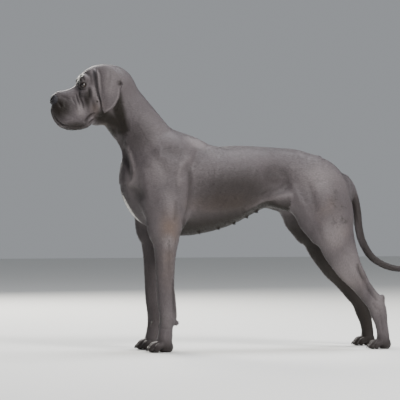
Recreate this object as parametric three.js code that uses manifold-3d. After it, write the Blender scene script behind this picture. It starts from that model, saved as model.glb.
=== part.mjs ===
// A standing Great Dane, life size, as a still museum model.
//
// Millimetres. The dog faces -X, its left side is -Y, its back is +Z and the floor is z = 0.
// The body is one smooth volume made of rounded limbs and balls that melt into one another.
// Each named part is that volume meshed finely where it needs detail, thinned out, and parted
// from its neighbours by flat cuts that leave a hair's gap.
import * as THREE from 'three';
import { mergeVertices } from 'three/addons/utils/BufferGeometryUtils.js';
import Module from 'manifold-3d';

const wasm = await Module();
wasm.setup();

// Driving dimensions
const WITHERS_HEIGHT = 812;
const DESIGN_HEIGHT = 812; // the stations below are written for this height at the withers
const SIZE = WITHERS_HEIGHT / DESIGN_HEIGHT;
const GAP = 0.3; // between parts that touch
const EYE_RADIUS = 12;
const EYE_CENTRE = [-467, 40, 1012];
const EAR_THICKNESS = 5.5;
const RIGHT_HIND_LAG = 12; // the right hind leg stands this much further back

const COAT = { color: 0x6a6367, roughness: 0.72, metalness: 0 };
const LEATHER = { color: 0x2b2829, roughness: 0.5, metalness: 0 };
const HORN = { color: 0x2c2625, roughness: 0.45, metalness: 0 };
const EYE = { color: 0x2a1a10, roughness: 0.08, metalness: 0 };

// Stations of a limb: x, y, z, then the reach to the back or top, the reach to the front or
// below, and the reach to the side, all square to the limb's line.
const TORSO = [
  [-176, 0, 640, 146, 138, 94],
  [-100, 0, 640, 186, 196, 114],
  [-20, 0, 640, 160, 192, 124],
  [60, 0, 645, 139, 175, 128],
  [140, 0, 655, 132, 148, 122],
  [220, 0, 666, 119, 125, 106],
  [300, 0, 671, 109, 122, 94],
  [380, 0, 668, 105, 104, 94],
  [460, 0, 656, 84, 84, 90],
  [530, 0, 632, 68, 72, 76],
  [574, 0, 608, 54, 58, 52],
];
const NECK = [
  [-352, 0, 976, 96, 92, 60],
  [-311, 0, 924, 99, 90, 62],
  [-257, 0, 855, 103, 90, 68],
  [-213, 0, 782, 116, 99, 82],
  [-165, 0, 705, 124, 130, 96],
];
const FORE_LEG = [
  [-112, 62, 762, 62, 62, 30],
  [-150, 76, 670, 84, 88, 42],
  [-172, 86, 585, 97, 82, 45],
  [-165, 92, 525, 88, 74, 43],
  [-166, 95, 468, 63, 65, 38],
  [-161, 95, 434, 54, 54, 34],
  [-161, 95, 400, 46, 46, 31],
  [-162, 95, 349, 39, 39, 28],
  [-162, 95, 298, 36, 36, 26],
  [-161, 95, 248, 34.5, 34.5, 25],
  [-157, 95, 197, 36, 36, 27],
  [-153, 95, 160, 35, 35, 29],
  [-151, 95, 129, 33, 33, 28],
  [-158, 95, 100, 27, 27, 25],
  [-162, 95, 61, 29, 29, 27],
  [-165, 95, 36, 30, 32, 30],
];
const HIND_LEG = [
  [466, 58, 668, 70, 80, 40],
  [462, 76, 606, 108, 110, 50],
  [468, 90, 530, 122, 110, 46],
  [492, 100, 462, 95, 70, 39],
  [524, 107, 390, 73, 64, 33],
  [566, 110, 318, 52, 54, 29],
  [597, 110, 274, 41, 42, 25],
  [624, 110, 237, 34, 35, 22],
  [651, 110, 204, 33, 33, 21],
  [676, 110, 172, 36, 34, 22],
  [689, 110, 138, 33, 33, 22],
  [698, 110, 100, 27, 26, 20],
  [706, 110, 60, 25, 25, 21],
  [707, 110, 34, 26, 28, 25],
];
const TAIL = [
  [582, 0, 654, 24, 24, 22],
  [602, 0, 634, 20, 20, 19],
  [625, 0, 590, 17, 17, 17],
  [638, 0, 532, 16, 16, 15.5],
  [644, 0, 472, 16, 16, 15.5],
  [660, 0, 412, 15.5, 15.5, 15],
  [699, 0, 353, 14.5, 14.5, 14],
  [757, 0, 318, 13, 13, 12.5],
  [818, 0, 306, 11.5, 11.5, 11],
  [872, 0, 312, 9.5, 9.5, 9],
  [918, 0, 324, 6.5, 6.5, 6.5],
];
const MUZZLE = [
  [-552, 0, 958, 33, 30, 24],
  [-515, 0, 955, 42, 50, 31],
  [-470, 0, 950, 62, 60, 38],
  [-420, 0, 950, 80, 70, 44],
];
const FLEW = [
  [-546, 16, 922, 38, 40, 22],
  [-518, 24, 904, 52, 57, 21],
  [-480, 27, 899, 58, 55, 22],
  [-458, 28, 900, 42, 43, 22],
];
const LOWER_JAW = [
  [-546, 0, 866, 13, 14, 17],
  [-515, 0, 866, 13, 14, 21],
  [-470, 0, 868, 14, 15, 24],
  [-432, 0, 876, 16, 12, 24],
];

// Balls: centre, then half sizes along x, y and z, then the tilt of the x axis in degrees
const SKULL = [-375, 0, 1010, 110, 64, 85, 0];
const CHEEK = [-408, 44, 950, 50, 22, 52, 0];
const BROW = [-463, 33, 1034, 19, 20, 16, 25];
const EYE_BULGE = [-467, 39, 1012, 16, 15.5, 15.5, 0];
const CHEEKBONE = [-446, 42, 992, 34, 16, 16, 15];
const THROAT = [-404, 0, 892, 40, 34, 32, 10];
const CREST = [-334, 0, 1028, 34, 26, 34, 35];
const CHEST_FRONT = [-188, 0, 640, 84, 90, 124, -8];
const WITHERS = [-70, 0, 772, 84, 38, 46, -22];
const POINT_OF_SHOULDER = [-214, 66, 632, 42, 40, 60, 0];
const RUMP = [548, 48, 596, 28, 42, 56, -20];
const FLANK = [318, 70, 576, 66, 32, 34, -12];
const HOCK_POINT = [699, 110, 192, 14, 13, 20, -20];
const STIFLE = [448, 104, 448, 20, 24, 38, -25];
const ELBOW = [-126, 96, 466, 14, 20, 26, 10];
const CARPAL_PAD = [-121, 95, 111, 13, 11, 11, 0];
const FORE_HEEL_PAD = [-160, 95, 18, 30, 30, 24, 0];
const HIND_HEEL_PAD = [712, 110, 18, 27, 26, 22, 0];
const NOSE_LEATHER = [-566, 0, 961, 22, 24, 27, 0];
const EAR_HOLLOW = [-345, 60, 1010, 17, 13, 19, 0];

// Toes: offset to the side, tip's reach ahead of the foot's centre, half width and height
const TOES = [
  { side: -27, reach: 36, width: 11.5, height: 36 },
  { side: -10, reach: 50, width: 11.5, height: 42 },
  { side: 10, reach: 50, width: 11.5, height: 42 },
  { side: 27, reach: 36, width: 11.5, height: 36 },
];
const FORE_FOOT = [-170, 95];
const HIND_FOOT = [700, 110];
const HIND_FOOT_SCALE = 0.9;

// Smooth volume: a form gives the distance from a point to its surface, below 0 inside
function smoothMin(a, b, blend) {
  const near = Math.max(blend - Math.abs(a - b), 0) / blend;
  return Math.min(a, b) - near * near * blend / 4;
}

function ellipsoidDistance(u, v, w, ru, rv, rw) {
  const [a, b, c] = [u / ru, v / rv, w / rw];
  const inner = Math.sqrt(a * a + b * b + c * c);
  const slope = Math.sqrt((a / ru) ** 2 + (b / rv) ** 2 + (c / rw) ** 2);
  if (slope < 1e-9) {
    return -Math.min(ru, rv, rw);
  }
  return inner * (inner - 1) / slope;
}

function catmullRom(a, b, c, d, t) {
  const linear = c - a;
  const square = 2 * a - 5 * b + 4 * c - d;
  const cube = 3 * b - a - 3 * c + d;
  return 0.5 * (2 * b + linear * t + square * t * t + cube * t * t * t);
}

function smoothStations(stations, steps) {
  const rows = [];
  for (let i = 0; i < stations.length - 1; i++) {
    const before = stations[Math.max(i - 1, 0)];
    const after = stations[Math.min(i + 2, stations.length - 1)];
    for (let s = 0; s < steps; s++) {
      rows.push(stations[i].map((value, c) =>
        catmullRom(before[c], value, stations[i + 1][c], after[c], s / steps)));
    }
  }
  rows.push(stations[stations.length - 1].slice());
  return rows;
}

function boundsOf(rows, reach) {
  const box = new THREE.Box3();
  for (const row of rows) {
    const r = reach(row);
    box.expandByPoint(new THREE.Vector3(row[0] - r, row[1] - r, row[2] - r));
    box.expandByPoint(new THREE.Vector3(row[0] + r, row[1] + r, row[2] + r));
  }
  return box;
}

function limb(stations, steps = 4) {
  const rows = smoothStations(stations, steps);
  const box = boundsOf(rows, (row) => Math.max(row[3], row[4], row[5]));
  const pieces = rows.slice(0, -1).map((a, i) => {
    const line = rows[i + 1].map((value, c) => value - a[c]);
    const square = line[0] ** 2 + line[1] ** 2 + line[2] ** 2;
    const plane = Math.sqrt(line[0] ** 2 + line[2] ** 2);
    return { a, line, square, length: Math.sqrt(square), nx: -line[2] / plane, nz: line[0] / plane };
  });
  const last = pieces.length - 1;
  function distance(x, y, z) {
    let best = Infinity;
    for (let i = 0; i <= last; i++) {
      const { a, line, square, length, nx, nz } = pieces[i];
      const along = ((x - a[0]) * line[0] + (y - a[1]) * line[1] + (z - a[2]) * line[2]) / square;
      const t = Math.min(Math.max(along, 0), 1);
      const px = x - a[0] - line[0] * t;
      const py = y - a[1] - line[1] * t;
      const pz = z - a[2] - line[2] * t;
      const up = px * nx + pz * nz;
      const run = (px * line[0] + py * line[1] + pz * line[2]) / length;
      const side = Math.sqrt(Math.max(px * px + py * py + pz * pz - up * up - run * run, 0));
      const top = a[3] + line[3] * t;
      const under = a[4] + line[4] * t;
      const wide = a[5] + line[5] * t;
      const reach = up > 0 ? top : under;
      const atEnd = (i === 0 && along < 0) || (i === last && along > 1);
      const cap = atEnd ? Math.min(top, under, wide) : reach;
      best = Math.min(best, ellipsoidDistance(up, side, run, reach, wide, cap));
    }
    return best;
  }
  return { box, distance };
}

function ball([cx, cy, cz, rx, ry, rz, tilt]) {
  const angle = THREE.MathUtils.degToRad(tilt);
  const cos = Math.cos(angle);
  const sin = Math.sin(angle);
  const reach = Math.max(rx, ry, rz);
  const box = boundsOf([[cx, cy, cz]], () => reach);
  function distance(x, y, z) {
    const dx = x - cx;
    const dz = z - cz;
    return ellipsoidDistance(dx * cos + dz * sin, y - cy, dz * cos - dx * sin, rx, ry, rz);
  }
  return { box, distance };
}

// A form beside the middle plane has a twin on the other side
function paired(form) {
  const box = form.box.clone();
  box.min.y = -form.box.max.y;
  return {
    box,
    distance: (x, y, z) => Math.min(form.distance(x, y, z), form.distance(x, -y, z)),
  };
}

function toeForms(foot, scale) {
  const forms = [];
  for (const toe of TOES) {
    const x = foot[0];
    const y = foot[1] + toe.side * scale;
    const half = toe.width * scale;
    forms.push(limb([
      [x - toe.reach * scale * 0.35, foot[1] + toe.side * scale * 0.8, toe.height * 0.72 * scale,
        13 * scale, 13 * scale, half],
      [x - toe.reach * scale * 0.72, y, toe.height * 0.6 * scale, 13 * scale, 14 * scale, half],
      [x - toe.reach * scale + 4, y, 11 * scale, 12 * scale, 14 * scale, half * 0.95],
    ], 3));
  }
  return forms;
}

const bodyForms = [
  [limb(TORSO), 30],
  [limb(NECK), 50],
  [ball(CHEST_FRONT), 50],
  [ball(WITHERS), 40],
  [ball(SKULL), 30],
  [ball(CREST), 40],
  [ball(THROAT), 20],
  [limb(MUZZLE), 24],
  [paired(limb(FLEW)), 14],
  [paired(ball(CHEEK)), 22],
  [paired(ball(CHEEKBONE)), 16],
  [paired(ball(BROW)), 12],
  [paired(ball(EYE_BULGE)), 8],
  [paired(limb(FORE_LEG)), 36],
  [paired(ball(POINT_OF_SHOULDER)), 40],
  [paired(ball(ELBOW)), 18],
  [paired(ball(CARPAL_PAD)), 6],
  [paired(ball(FORE_HEEL_PAD)), 10],
  [paired(limb(HIND_LEG)), 40],
  [paired(ball(RUMP)), 34],
  [paired(ball(FLANK)), 50],
  [paired(ball(STIFLE)), 30],
  [paired(ball(HOCK_POINT)), 10],
  [paired(ball(HIND_HEEL_PAD)), 10],
  [limb(TAIL), 14],
  ...toeForms(FORE_FOOT, 1).map((form) => [paired(form), 5]),
  ...toeForms(HIND_FOOT, HIND_FOOT_SCALE).map((form) => [paired(form), 5]),
];

// The right hind leg stands back: points of that leg are read a little further forward
function lagOf(x, y, z) {
  const low = THREE.MathUtils.smoothstep(540 - z, 0, 260);
  const right = THREE.MathUtils.smoothstep(y, 10, 60);
  const hind = THREE.MathUtils.smoothstep(x, 300, 400);
  return RIGHT_HIND_LAG * low * right * hind;
}

function bodyDistance(forms) {
  return (px, y, z) => {
    const x = px - lagOf(px, y, z);
    let best = 1e3;
    for (const [form, blend] of forms) {
      const { min, max } = form.box;
      const outX = Math.max(min.x - x, x - max.x, 0);
      const outY = Math.max(min.y - y, y - max.y, 0);
      const outZ = Math.max(min.z - z, z - max.z, 0);
      if (outX + outY + outZ < best + blend) {
        best = smoothMin(best, form.distance(x, y, z), blend);
      }
    }
    return best;
  };
}

// Meshing by tetrahedra, six to a cell, which always gives a closed surface
const CORNERS = [[0, 0, 0], [1, 0, 0], [0, 1, 0], [1, 1, 0], [0, 0, 1], [1, 0, 1], [0, 1, 1], [1, 1, 1]];
const TETRAHEDRA = [[0, 1, 3, 7], [0, 1, 5, 7], [0, 2, 3, 7], [0, 2, 6, 7], [0, 4, 5, 7], [0, 4, 6, 7]];

function sampleGrid(distance, box, cell) {
  const size = box.getSize(new THREE.Vector3());
  const counts = [size.x, size.y, size.z].map((length) => Math.ceil(length / cell) + 1);
  const [nx, ny, nz] = counts;
  const values = new Float64Array(nx * ny * nz);
  for (let k = 0; k < nz; k++) {
    for (let j = 0; j < ny; j++) {
      for (let i = 0; i < nx; i++) {
        const edge = i === 0 || j === 0 || k === 0 || i === nx - 1 || j === ny - 1 || k === nz - 1;
        const value = distance(box.min.x + i * cell, box.min.y + j * cell, box.min.z + k * cell);
        const kept = edge ? Math.max(value, cell / 2) : value;
        values[i + nx * (j + ny * k)] = Math.abs(kept) < 1e-3 ? 1e-3 : kept;
      }
    }
  }
  return { counts, values };
}

function meshVolume(distance, box, cell) {
  const { counts, values } = sampleGrid(distance, box, cell);
  const [nx, ny, nz] = counts;
  const points = [];
  const faces = [];
  const known = new Map();
  const place = (index) => [
    box.min.x + (index % nx) * cell,
    box.min.y + (Math.floor(index / nx) % ny) * cell,
    box.min.z + Math.floor(index / (nx * ny)) * cell,
  ];
  function crossing(a, b) {
    const key = a < b ? a * values.length + b : b * values.length + a;
    if (!known.has(key)) {
      const t = THREE.MathUtils.clamp(values[a] / (values[a] - values[b]), 0.04, 0.96);
      const pa = place(a);
      const pb = place(b);
      points.push(pa.map((value, c) => value + (pb[c] - value) * t));
      known.set(key, points.length - 1);
    }
    return known.get(key);
  }
  function addFace(a, b, c, inside, outside) {
    const [pa, pb, pc] = [points[a], points[b], points[c]];
    const u = pb.map((value, i) => value - pa[i]);
    const v = pc.map((value, i) => value - pa[i]);
    const from = place(inside);
    const to = place(outside);
    const turn = (u[1] * v[2] - u[2] * v[1]) * (to[0] - from[0])
      + (u[2] * v[0] - u[0] * v[2]) * (to[1] - from[1])
      + (u[0] * v[1] - u[1] * v[0]) * (to[2] - from[2]);
    faces.push(turn > 0 ? [a, b, c] : [a, c, b]);
  }
  for (let k = 0; k < nz - 1; k++) {
    for (let j = 0; j < ny - 1; j++) {
      for (let i = 0; i < nx - 1; i++) {
        const corners = CORNERS.map(([a, b, c]) => i + a + nx * (j + b + ny * (k + c)));
        const below = corners.filter((corner) => values[corner] < 0).length;
        if (below === 0 || below === 8) {
          continue;
        }
        for (const tetrahedron of TETRAHEDRA) {
          const four = tetrahedron.map((corner) => corners[corner]);
          const inside = four.filter((corner) => values[corner] < 0);
          const outside = four.filter((corner) => values[corner] > 0);
          if (inside.length === 1 || outside.length === 1) {
            const lone = inside.length === 1 ? inside[0] : outside[0];
            const rest = inside.length === 1 ? outside : inside;
            const [a, b, c] = rest.map((corner) => crossing(lone, corner));
            addFace(a, b, c, inside[0], outside[0]);
          } else if (inside.length === 2) {
            const a = crossing(inside[0], outside[0]);
            const b = crossing(inside[0], outside[1]);
            const c = crossing(inside[1], outside[1]);
            const d = crossing(inside[1], outside[0]);
            addFace(a, b, c, inside[0], outside[0]);
            addFace(a, c, d, inside[0], outside[0]);
          }
        }
      }
    }
  }
  return { points, faces };
}

function pullToSurface(points, distance, passes = 2) {
  const step = 0.5;
  for (const point of points) {
    for (let pass = 0; pass < passes; pass++) {
      const [x, y, z] = point;
      const value = distance(x, y, z);
      const gx = (distance(x + step, y, z) - distance(x - step, y, z)) / (2 * step);
      const gy = (distance(x, y + step, z) - distance(x, y - step, z)) / (2 * step);
      const gz = (distance(x, y, z + step) - distance(x, y, z - step)) / (2 * step);
      const square = gx * gx + gy * gy + gz * gz;
      if (square > 0.1 && Math.abs(value) < 12) {
        point[0] -= value * gx / square;
        point[1] -= value * gy / square;
        point[2] -= value * gz / square;
      }
    }
  }
}

// Thinning by edge collapse: the edge whose loss moves the surface least goes first
function facePlane(pa, pb, pc) {
  const ux = pb[0] - pa[0];
  const uy = pb[1] - pa[1];
  const uz = pb[2] - pa[2];
  const vx = pc[0] - pa[0];
  const vy = pc[1] - pa[1];
  const vz = pc[2] - pa[2];
  const normal = [uy * vz - uz * vy, uz * vx - ux * vz, ux * vy - uy * vx];
  const length = Math.hypot(...normal);
  return { normal, length };
}

function addQuadric(quadric, plane, origin) {
  if (plane.length < 1e-9) {
    return;
  }
  const [a, b, c] = plane.normal.map((value) => value / plane.length);
  const d = -(a * origin[0] + b * origin[1] + c * origin[2]);
  const w = plane.length;
  const terms = [a * a, a * b, a * c, a * d, b * b, b * c, b * d, c * c, c * d, d * d];
  terms.forEach((term, i) => {
    quadric[i] += w * term;
  });
}

function quadricError(q, [x, y, z]) {
  return q[0] * x * x + 2 * q[1] * x * y + 2 * q[2] * x * z + 2 * q[3] * x
    + q[4] * y * y + 2 * q[5] * y * z + 2 * q[6] * y + q[7] * z * z + 2 * q[8] * z + q[9];
}

function bestPlace(q, pa, pb) {
  const middle = pa.map((value, i) => (value + pb[i]) / 2);
  const matrix = new THREE.Matrix3().set(q[0], q[1], q[2], q[1], q[4], q[5], q[2], q[5], q[7]);
  const scale = q[0] + q[4] + q[7];
  if (Math.abs(matrix.determinant()) > 1e-5 * scale * scale * scale) {
    const place = new THREE.Vector3(-q[3], -q[6], -q[8]).applyMatrix3(matrix.invert());
    const away = Math.hypot(place.x - middle[0], place.y - middle[1], place.z - middle[2]);
    const span = Math.hypot(pa[0] - pb[0], pa[1] - pb[1], pa[2] - pb[2]);
    if (away < span) {
      return place.toArray();
    }
  }
  return middle;
}

class Heap {
  constructor() {
    this.items = [];
  }

  push(item) {
    const { items } = this;
    let i = items.length;
    items.push(item);
    while (i > 0) {
      const parent = (i - 1) >> 1;
      if (items[parent].cost <= item.cost) {
        break;
      }
      items[i] = items[parent];
      i = parent;
    }
    items[i] = item;
  }

  pop() {
    const { items } = this;
    const first = items[0];
    const item = items.pop();
    if (items.length > 0) {
      let i = 0;
      for (;;) {
        let child = 2 * i + 1;
        if (child >= items.length) {
          break;
        }
        if (child + 1 < items.length && items[child + 1].cost < items[child].cost) {
          child += 1;
        }
        if (items[child].cost >= item.cost) {
          break;
        }
        items[i] = items[child];
        i = child;
      }
      items[i] = item;
    }
    return first;
  }
}

function thinOut({ points, faces }, target, weightAt) {
  const live = faces.map(() => true);
  const around = points.map(() => new Set());
  const quadrics = points.map(() => new Float64Array(10));
  const version = new Int32Array(points.length);
  faces.forEach((face, f) => {
    const plane = facePlane(...face.map((corner) => points[corner]));
    for (const corner of face) {
      around[corner].add(f);
      addQuadric(quadrics[corner], plane, points[face[0]]);
    }
  });
  const heap = new Heap();
  function offer(a, b) {
    const q = quadrics[a].map((value, i) => value + quadrics[b][i]);
    const place = bestPlace(q, points[a], points[b]);
    const span = Math.hypot(...points[a].map((value, i) => value - points[b][i]));
    const cost = (Math.max(quadricError(q, place), 0) + 0.002 * span ** 4) * weightAt(place);
    heap.push({ cost, a, b, place, stamp: version[a] + version[b] });
  }
  function neighbours(v) {
    const ring = new Set();
    for (const f of around[v]) {
      faces[f].forEach((corner) => ring.add(corner));
    }
    ring.delete(v);
    return ring;
  }
  function turnsOver(v, other, place) {
    for (const f of around[v]) {
      const face = faces[f];
      if (face.includes(other)) {
        continue;
      }
      const before = facePlane(...face.map((corner) => points[corner]));
      const after = facePlane(...face.map((corner) => (corner === v ? place : points[corner])));
      const dot = before.normal.reduce((sum, value, i) => sum + value * after.normal[i], 0);
      if (dot < 0.25 * before.length * after.length || after.length < 1e-3) {
        return true;
      }
    }
    return false;
  }
  faces.forEach(([a, b, c]) => {
    for (const [u, v] of [[a, b], [b, c], [c, a]]) {
      if (u < v) {
        offer(u, v);
      }
    }
  });
  let count = faces.length;
  while (count > target && heap.items.length > 0) {
    const { a, b, place, stamp } = heap.pop();
    if (version[a] < 0 || version[b] < 0 || stamp !== version[a] + version[b]) {
      continue;
    }
    const ringA = neighbours(a);
    const shared = [...neighbours(b)].filter((corner) => ringA.has(corner));
    if (!ringA.has(b) || shared.length !== 2 || turnsOver(a, b, place) || turnsOver(b, a, place)) {
      continue;
    }
    for (const f of [...around[b]]) {
      const face = faces[f];
      if (face.includes(a)) {
        live[f] = false;
        face.forEach((corner) => around[corner].delete(f));
        count -= 1;
      } else {
        face[face.indexOf(b)] = a;
        around[a].add(f);
      }
    }
    points[a] = place;
    quadrics[b].forEach((value, i) => {
      quadrics[a][i] += value;
    });
    version[a] += 1;
    version[b] = -1e6;
    for (const corner of neighbours(a)) {
      offer(a, corner);
    }
  }
  return compact({ points, faces: faces.filter((face, f) => live[f]) });
}

function compact({ points, faces }) {
  const renumber = new Map();
  const kept = [];
  const renumbered = faces.map((face) => face.map((corner) => {
    if (!renumber.has(corner)) {
      renumber.set(corner, kept.length);
      kept.push(points[corner]);
    }
    return renumber.get(corner);
  }));
  return { points: kept, faces: renumbered };
}

function smoothMesh(distance, box, cell, target, weightAt = () => 1) {
  const mesh = meshVolume(distance, box, cell);
  pullToSurface(mesh.points, distance);
  const thin = thinOut(mesh, target, weightAt);
  pullToSurface(thin.points, distance, 1);
  return thin;
}

// Solids: closed meshes that manifold-3d joins and cuts
function solidOf({ points, faces }) {
  return new wasm.Manifold(new wasm.Mesh({
    numProp: 3,
    vertProperties: new Float32Array(points.flat()),
    triVerts: new Uint32Array(faces.flat()),
  }));
}

function solidOfGeometry(geometry) {
  geometry.deleteAttribute('normal');
  geometry.deleteAttribute('uv');
  const merged = mergeVertices(geometry, 1e-4);
  return new wasm.Manifold(new wasm.Mesh({
    numProp: 3,
    vertProperties: new Float32Array(merged.attributes.position.array),
    triVerts: new Uint32Array(merged.index.array),
  }));
}

function geometryOf(solid) {
  const mesh = solid.getMesh();
  const geometry = new THREE.BufferGeometry();
  geometry.setAttribute('position', new THREE.BufferAttribute(mesh.vertProperties, 3));
  geometry.setIndex(new THREE.BufferAttribute(mesh.triVerts, 1));
  return geometry;
}

function largestPiece(solid) {
  return solid.decompose().reduce((best, piece) => (piece.volume() > best.volume() ? piece : best));
}

function vertexNormals({ points, faces }) {
  const normals = points.map(() => [0, 0, 0]);
  for (const face of faces) {
    const { normal } = facePlane(...face.map((corner) => points[corner]));
    for (const corner of face) {
      normal.forEach((value, i) => {
        normals[corner][i] += value;
      });
    }
  }
  return normals.map((normal) => {
    const length = Math.hypot(...normal) || 1;
    return normal.map((value) => value / length);
  });
}

function swollen(mesh, amount) {
  const normals = vertexNormals(mesh);
  const points = mesh.points.map((point, v) => point.map((value, i) => value + normals[v][i] * amount));
  return { points, faces: mesh.faces };
}

// Cutters
const FAR = 3000;

// All space on the side of a plane that its normal points to, less half a gap
function beyond([x, z], [nx, nz]) {
  const geometry = new THREE.BoxGeometry(FAR, FAR, FAR);
  geometry.rotateY(-Math.atan2(nz, nx));
  const length = Math.hypot(nx, nz);
  const shift = FAR / 2 + GAP / 2;
  geometry.translate(x + nx / length * shift, 0, z + nz / length * shift);
  return solidOfGeometry(geometry);
}

// A prism along y through an outline of x, z points
function sidePrism(outline, yMin, yMax) {
  const shape = new THREE.Shape(outline.map(([x, z]) => new THREE.Vector2(x, z)));
  const geometry = new THREE.ExtrudeGeometry(shape, { depth: yMax - yMin, bevelEnabled: false });
  geometry.rotateX(Math.PI / 2);
  geometry.translate(0, yMax, 0);
  return solidOfGeometry(geometry);
}

// A prism along x through an outline of y, z points
function frontPrism(outline, side) {
  const shape = new THREE.Shape(outline.map(([y, z]) => new THREE.Vector2(side * y, z)));
  const geometry = new THREE.ExtrudeGeometry(shape, { depth: FAR, bevelEnabled: false });
  const turn = new THREE.Matrix4().set(0, 0, 1, 0, 1, 0, 0, 0, 0, 1, 0, 0, 0, 0, 0, 1);
  geometry.applyMatrix4(turn);
  geometry.translate(-FAR / 2, 0, 0);
  return solidOfGeometry(geometry);
}

function block(xMin, xMax, yMin, yMax, zMin, zMax) {
  const geometry = new THREE.BoxGeometry(xMax - xMin, yMax - yMin, zMax - zMin);
  geometry.translate((xMin + xMax) / 2, (yMin + yMax) / 2, (zMin + zMax) / 2);
  return solidOfGeometry(geometry);
}

// A cutter made larger by the gap in every direction along the axes
function grown(cutter) {
  const steps = [[GAP, 0, 0], [-GAP, 0, 0], [0, GAP, 0], [0, -GAP, 0], [0, 0, GAP], [0, 0, -GAP]];
  return steps.reduce((whole, step) => whole.add(cutter.translate(step)), cutter);
}

// Where the body is parted: a point on each plane and the way its normal points
const HEAD_PLANE = { at: [-338, 955], normal: [-0.927, 0.375] };
const NECK_PLANE = { at: [-217, 779], normal: [-0.63, 0.777] };
const KNEE_PLANE = { at: [524, 390], normal: [-0.42, 0.91] };
const HOCK_PLANE = { at: [651, 204], normal: [-0.62, 0.785] };
const ELBOW_HEIGHT = 434;
const WRIST_HEIGHT = 130;
const PAW_HEIGHT = 56;
const TAIL_SPLIT_HEIGHT = 470;
const TAIL_SPLIT_X = 758;
const UPPER_ARM_SIDE = [
  [-262, 434], [-258, 560], [-215, 690], [-150, 742], [-92, 715], [-62, 600], [-62, 434],
];
const UPPER_ARM_FRONT = [[50, 434], [150, 720], [300, 720], [300, 434]];
const THIGH_SIDE = [
  [330, 350], [330, 480], [352, 570], [392, 660], [450, 706], [520, 694], [590, 640], [650, 560], [650, 350],
];
const THIGH_FRONT = [[30, 330], [30, 430], [150, 740], [300, 740], [300, 330]];
const TAIL_SIDE = [
  [584, 640], [660, 702], [1100, 702], [1100, 200], [604, 200], [604, 575], [598, 622],
];

const flipped = ({ at, normal }) => ({ at, normal: normal.map((value) => -value) });
const beyondPlane = ({ at, normal }) => beyond(at, normal);
const above = (z) => beyond([0, z], [0, 1]);
const below = (z) => beyond([0, z], [0, -1]);
const tailPrism = () => sidePrism(TAIL_SIDE, -46, 46);

function legPrism(side, xMin, xMax, yMin, zMax) {
  const [a, b] = side < 0 ? [-200, -yMin] : [yMin, 200];
  return block(xMin, xMax, a, b, 0, zMax);
}

function upperArmCutter(side) {
  return sidePrism(UPPER_ARM_SIDE, -200, 200).intersect(frontPrism(UPPER_ARM_FRONT, side))
    .intersect(above(ELBOW_HEIGHT));
}

function thighCutter(side) {
  return sidePrism(THIGH_SIDE, -200, 200).intersect(frontPrism(THIGH_FRONT, side))
    .intersect(beyondPlane(KNEE_PLANE));
}

const lowerForeLeg = (side) => legPrism(side, -300, -40, 44, ELBOW_HEIGHT);
const lowerHindLeg = (side) => legPrism(side, 360, 800, 20, 520).intersect(beyondPlane(flipped(KNEE_PLANE)));

// Ears: a folded sheet whose rows run from the root over the fold and down to the tip
const EAR_ROWS = [
  [[-410, 40, 1066], [-372, 42, 1072], [-330, 46, 1044]],
  [[-419, 57, 1080], [-374, 66, 1083], [-323, 63, 1046]],
  [[-421, 68, 1056], [-378, 80, 1052], [-325, 73, 1026]],
  [[-418, 73, 1018], [-379, 85, 1014], [-333, 75, 1000]],
  [[-414, 75, 984], [-380, 85, 978], [-338, 76, 968]],
  [[-405, 76, 952], [-382, 82, 946], [-352, 76, 942]],
  [[-395, 75, 928], [-388, 76, 921], [-378, 75, 925]],
];
const EAR_COLUMNS = 6;
const EAR_STEPS = 10;

function curveThrough(points) {
  return new THREE.CatmullRomCurve3(points.map((point) => new THREE.Vector3(...point)));
}

function sheetSolid(rows, columns, steps, thickness, side) {
  const rails = rows.map((row) => curveThrough(row));
  const middle = [];
  for (let u = 0; u <= columns; u++) {
    const rib = new THREE.CatmullRomCurve3(rails.map((rail) => rail.getPoint(u / columns)));
    middle.push(Array.from({ length: steps + 1 }, (unused, v) => rib.getPoint(v / steps)));
  }
  const at = (u, v) => middle[Math.min(Math.max(u, 0), columns)][Math.min(Math.max(v, 0), steps)];
  const points = [];
  for (const face of [1, -1]) {
    for (let u = 0; u <= columns; u++) {
      for (let v = 0; v <= steps; v++) {
        const across = at(u + 1, v).clone().sub(at(u - 1, v));
        const down = at(u, v + 1).clone().sub(at(u, v - 1));
        const normal = across.cross(down).normalize();
        const rim = Math.sin(Math.PI * (u + 0.5) / (columns + 1));
        const half = thickness / 2 * (0.45 + 0.55 * rim) * (v > steps - 1 ? 0.6 : 1);
        const point = at(u, v).clone().addScaledVector(normal, face * half);
        points.push([point.x, side * point.y, point.z]);
      }
    }
  }
  const count = (columns + 1) * (steps + 1);
  const index = (u, v, back) => u * (steps + 1) + v + (back ? count : 0);
  const faces = [];
  const quad = (a, b, c, d) => faces.push([a, b, c], [a, c, d]);
  for (let u = 0; u < columns; u++) {
    for (let v = 0; v < steps; v++) {
      quad(index(u, v), index(u + 1, v), index(u + 1, v + 1), index(u, v + 1));
      faces.push([index(u, v, true), index(u + 1, v + 1, true), index(u + 1, v, true)]);
      faces.push([index(u, v, true), index(u, v + 1, true), index(u + 1, v + 1, true)]);
    }
    quad(index(u, 0), index(u, 0, true), index(u + 1, 0, true), index(u + 1, 0));
    quad(index(u, steps, true), index(u, steps), index(u + 1, steps), index(u + 1, steps, true));
  }
  for (let v = 0; v < steps; v++) {
    quad(index(0, v, true), index(0, v), index(0, v + 1), index(0, v + 1, true));
    quad(index(columns, v), index(columns, v, true), index(columns, v + 1, true), index(columns, v + 1));
  }
  return outward({ points, faces });
}

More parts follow.
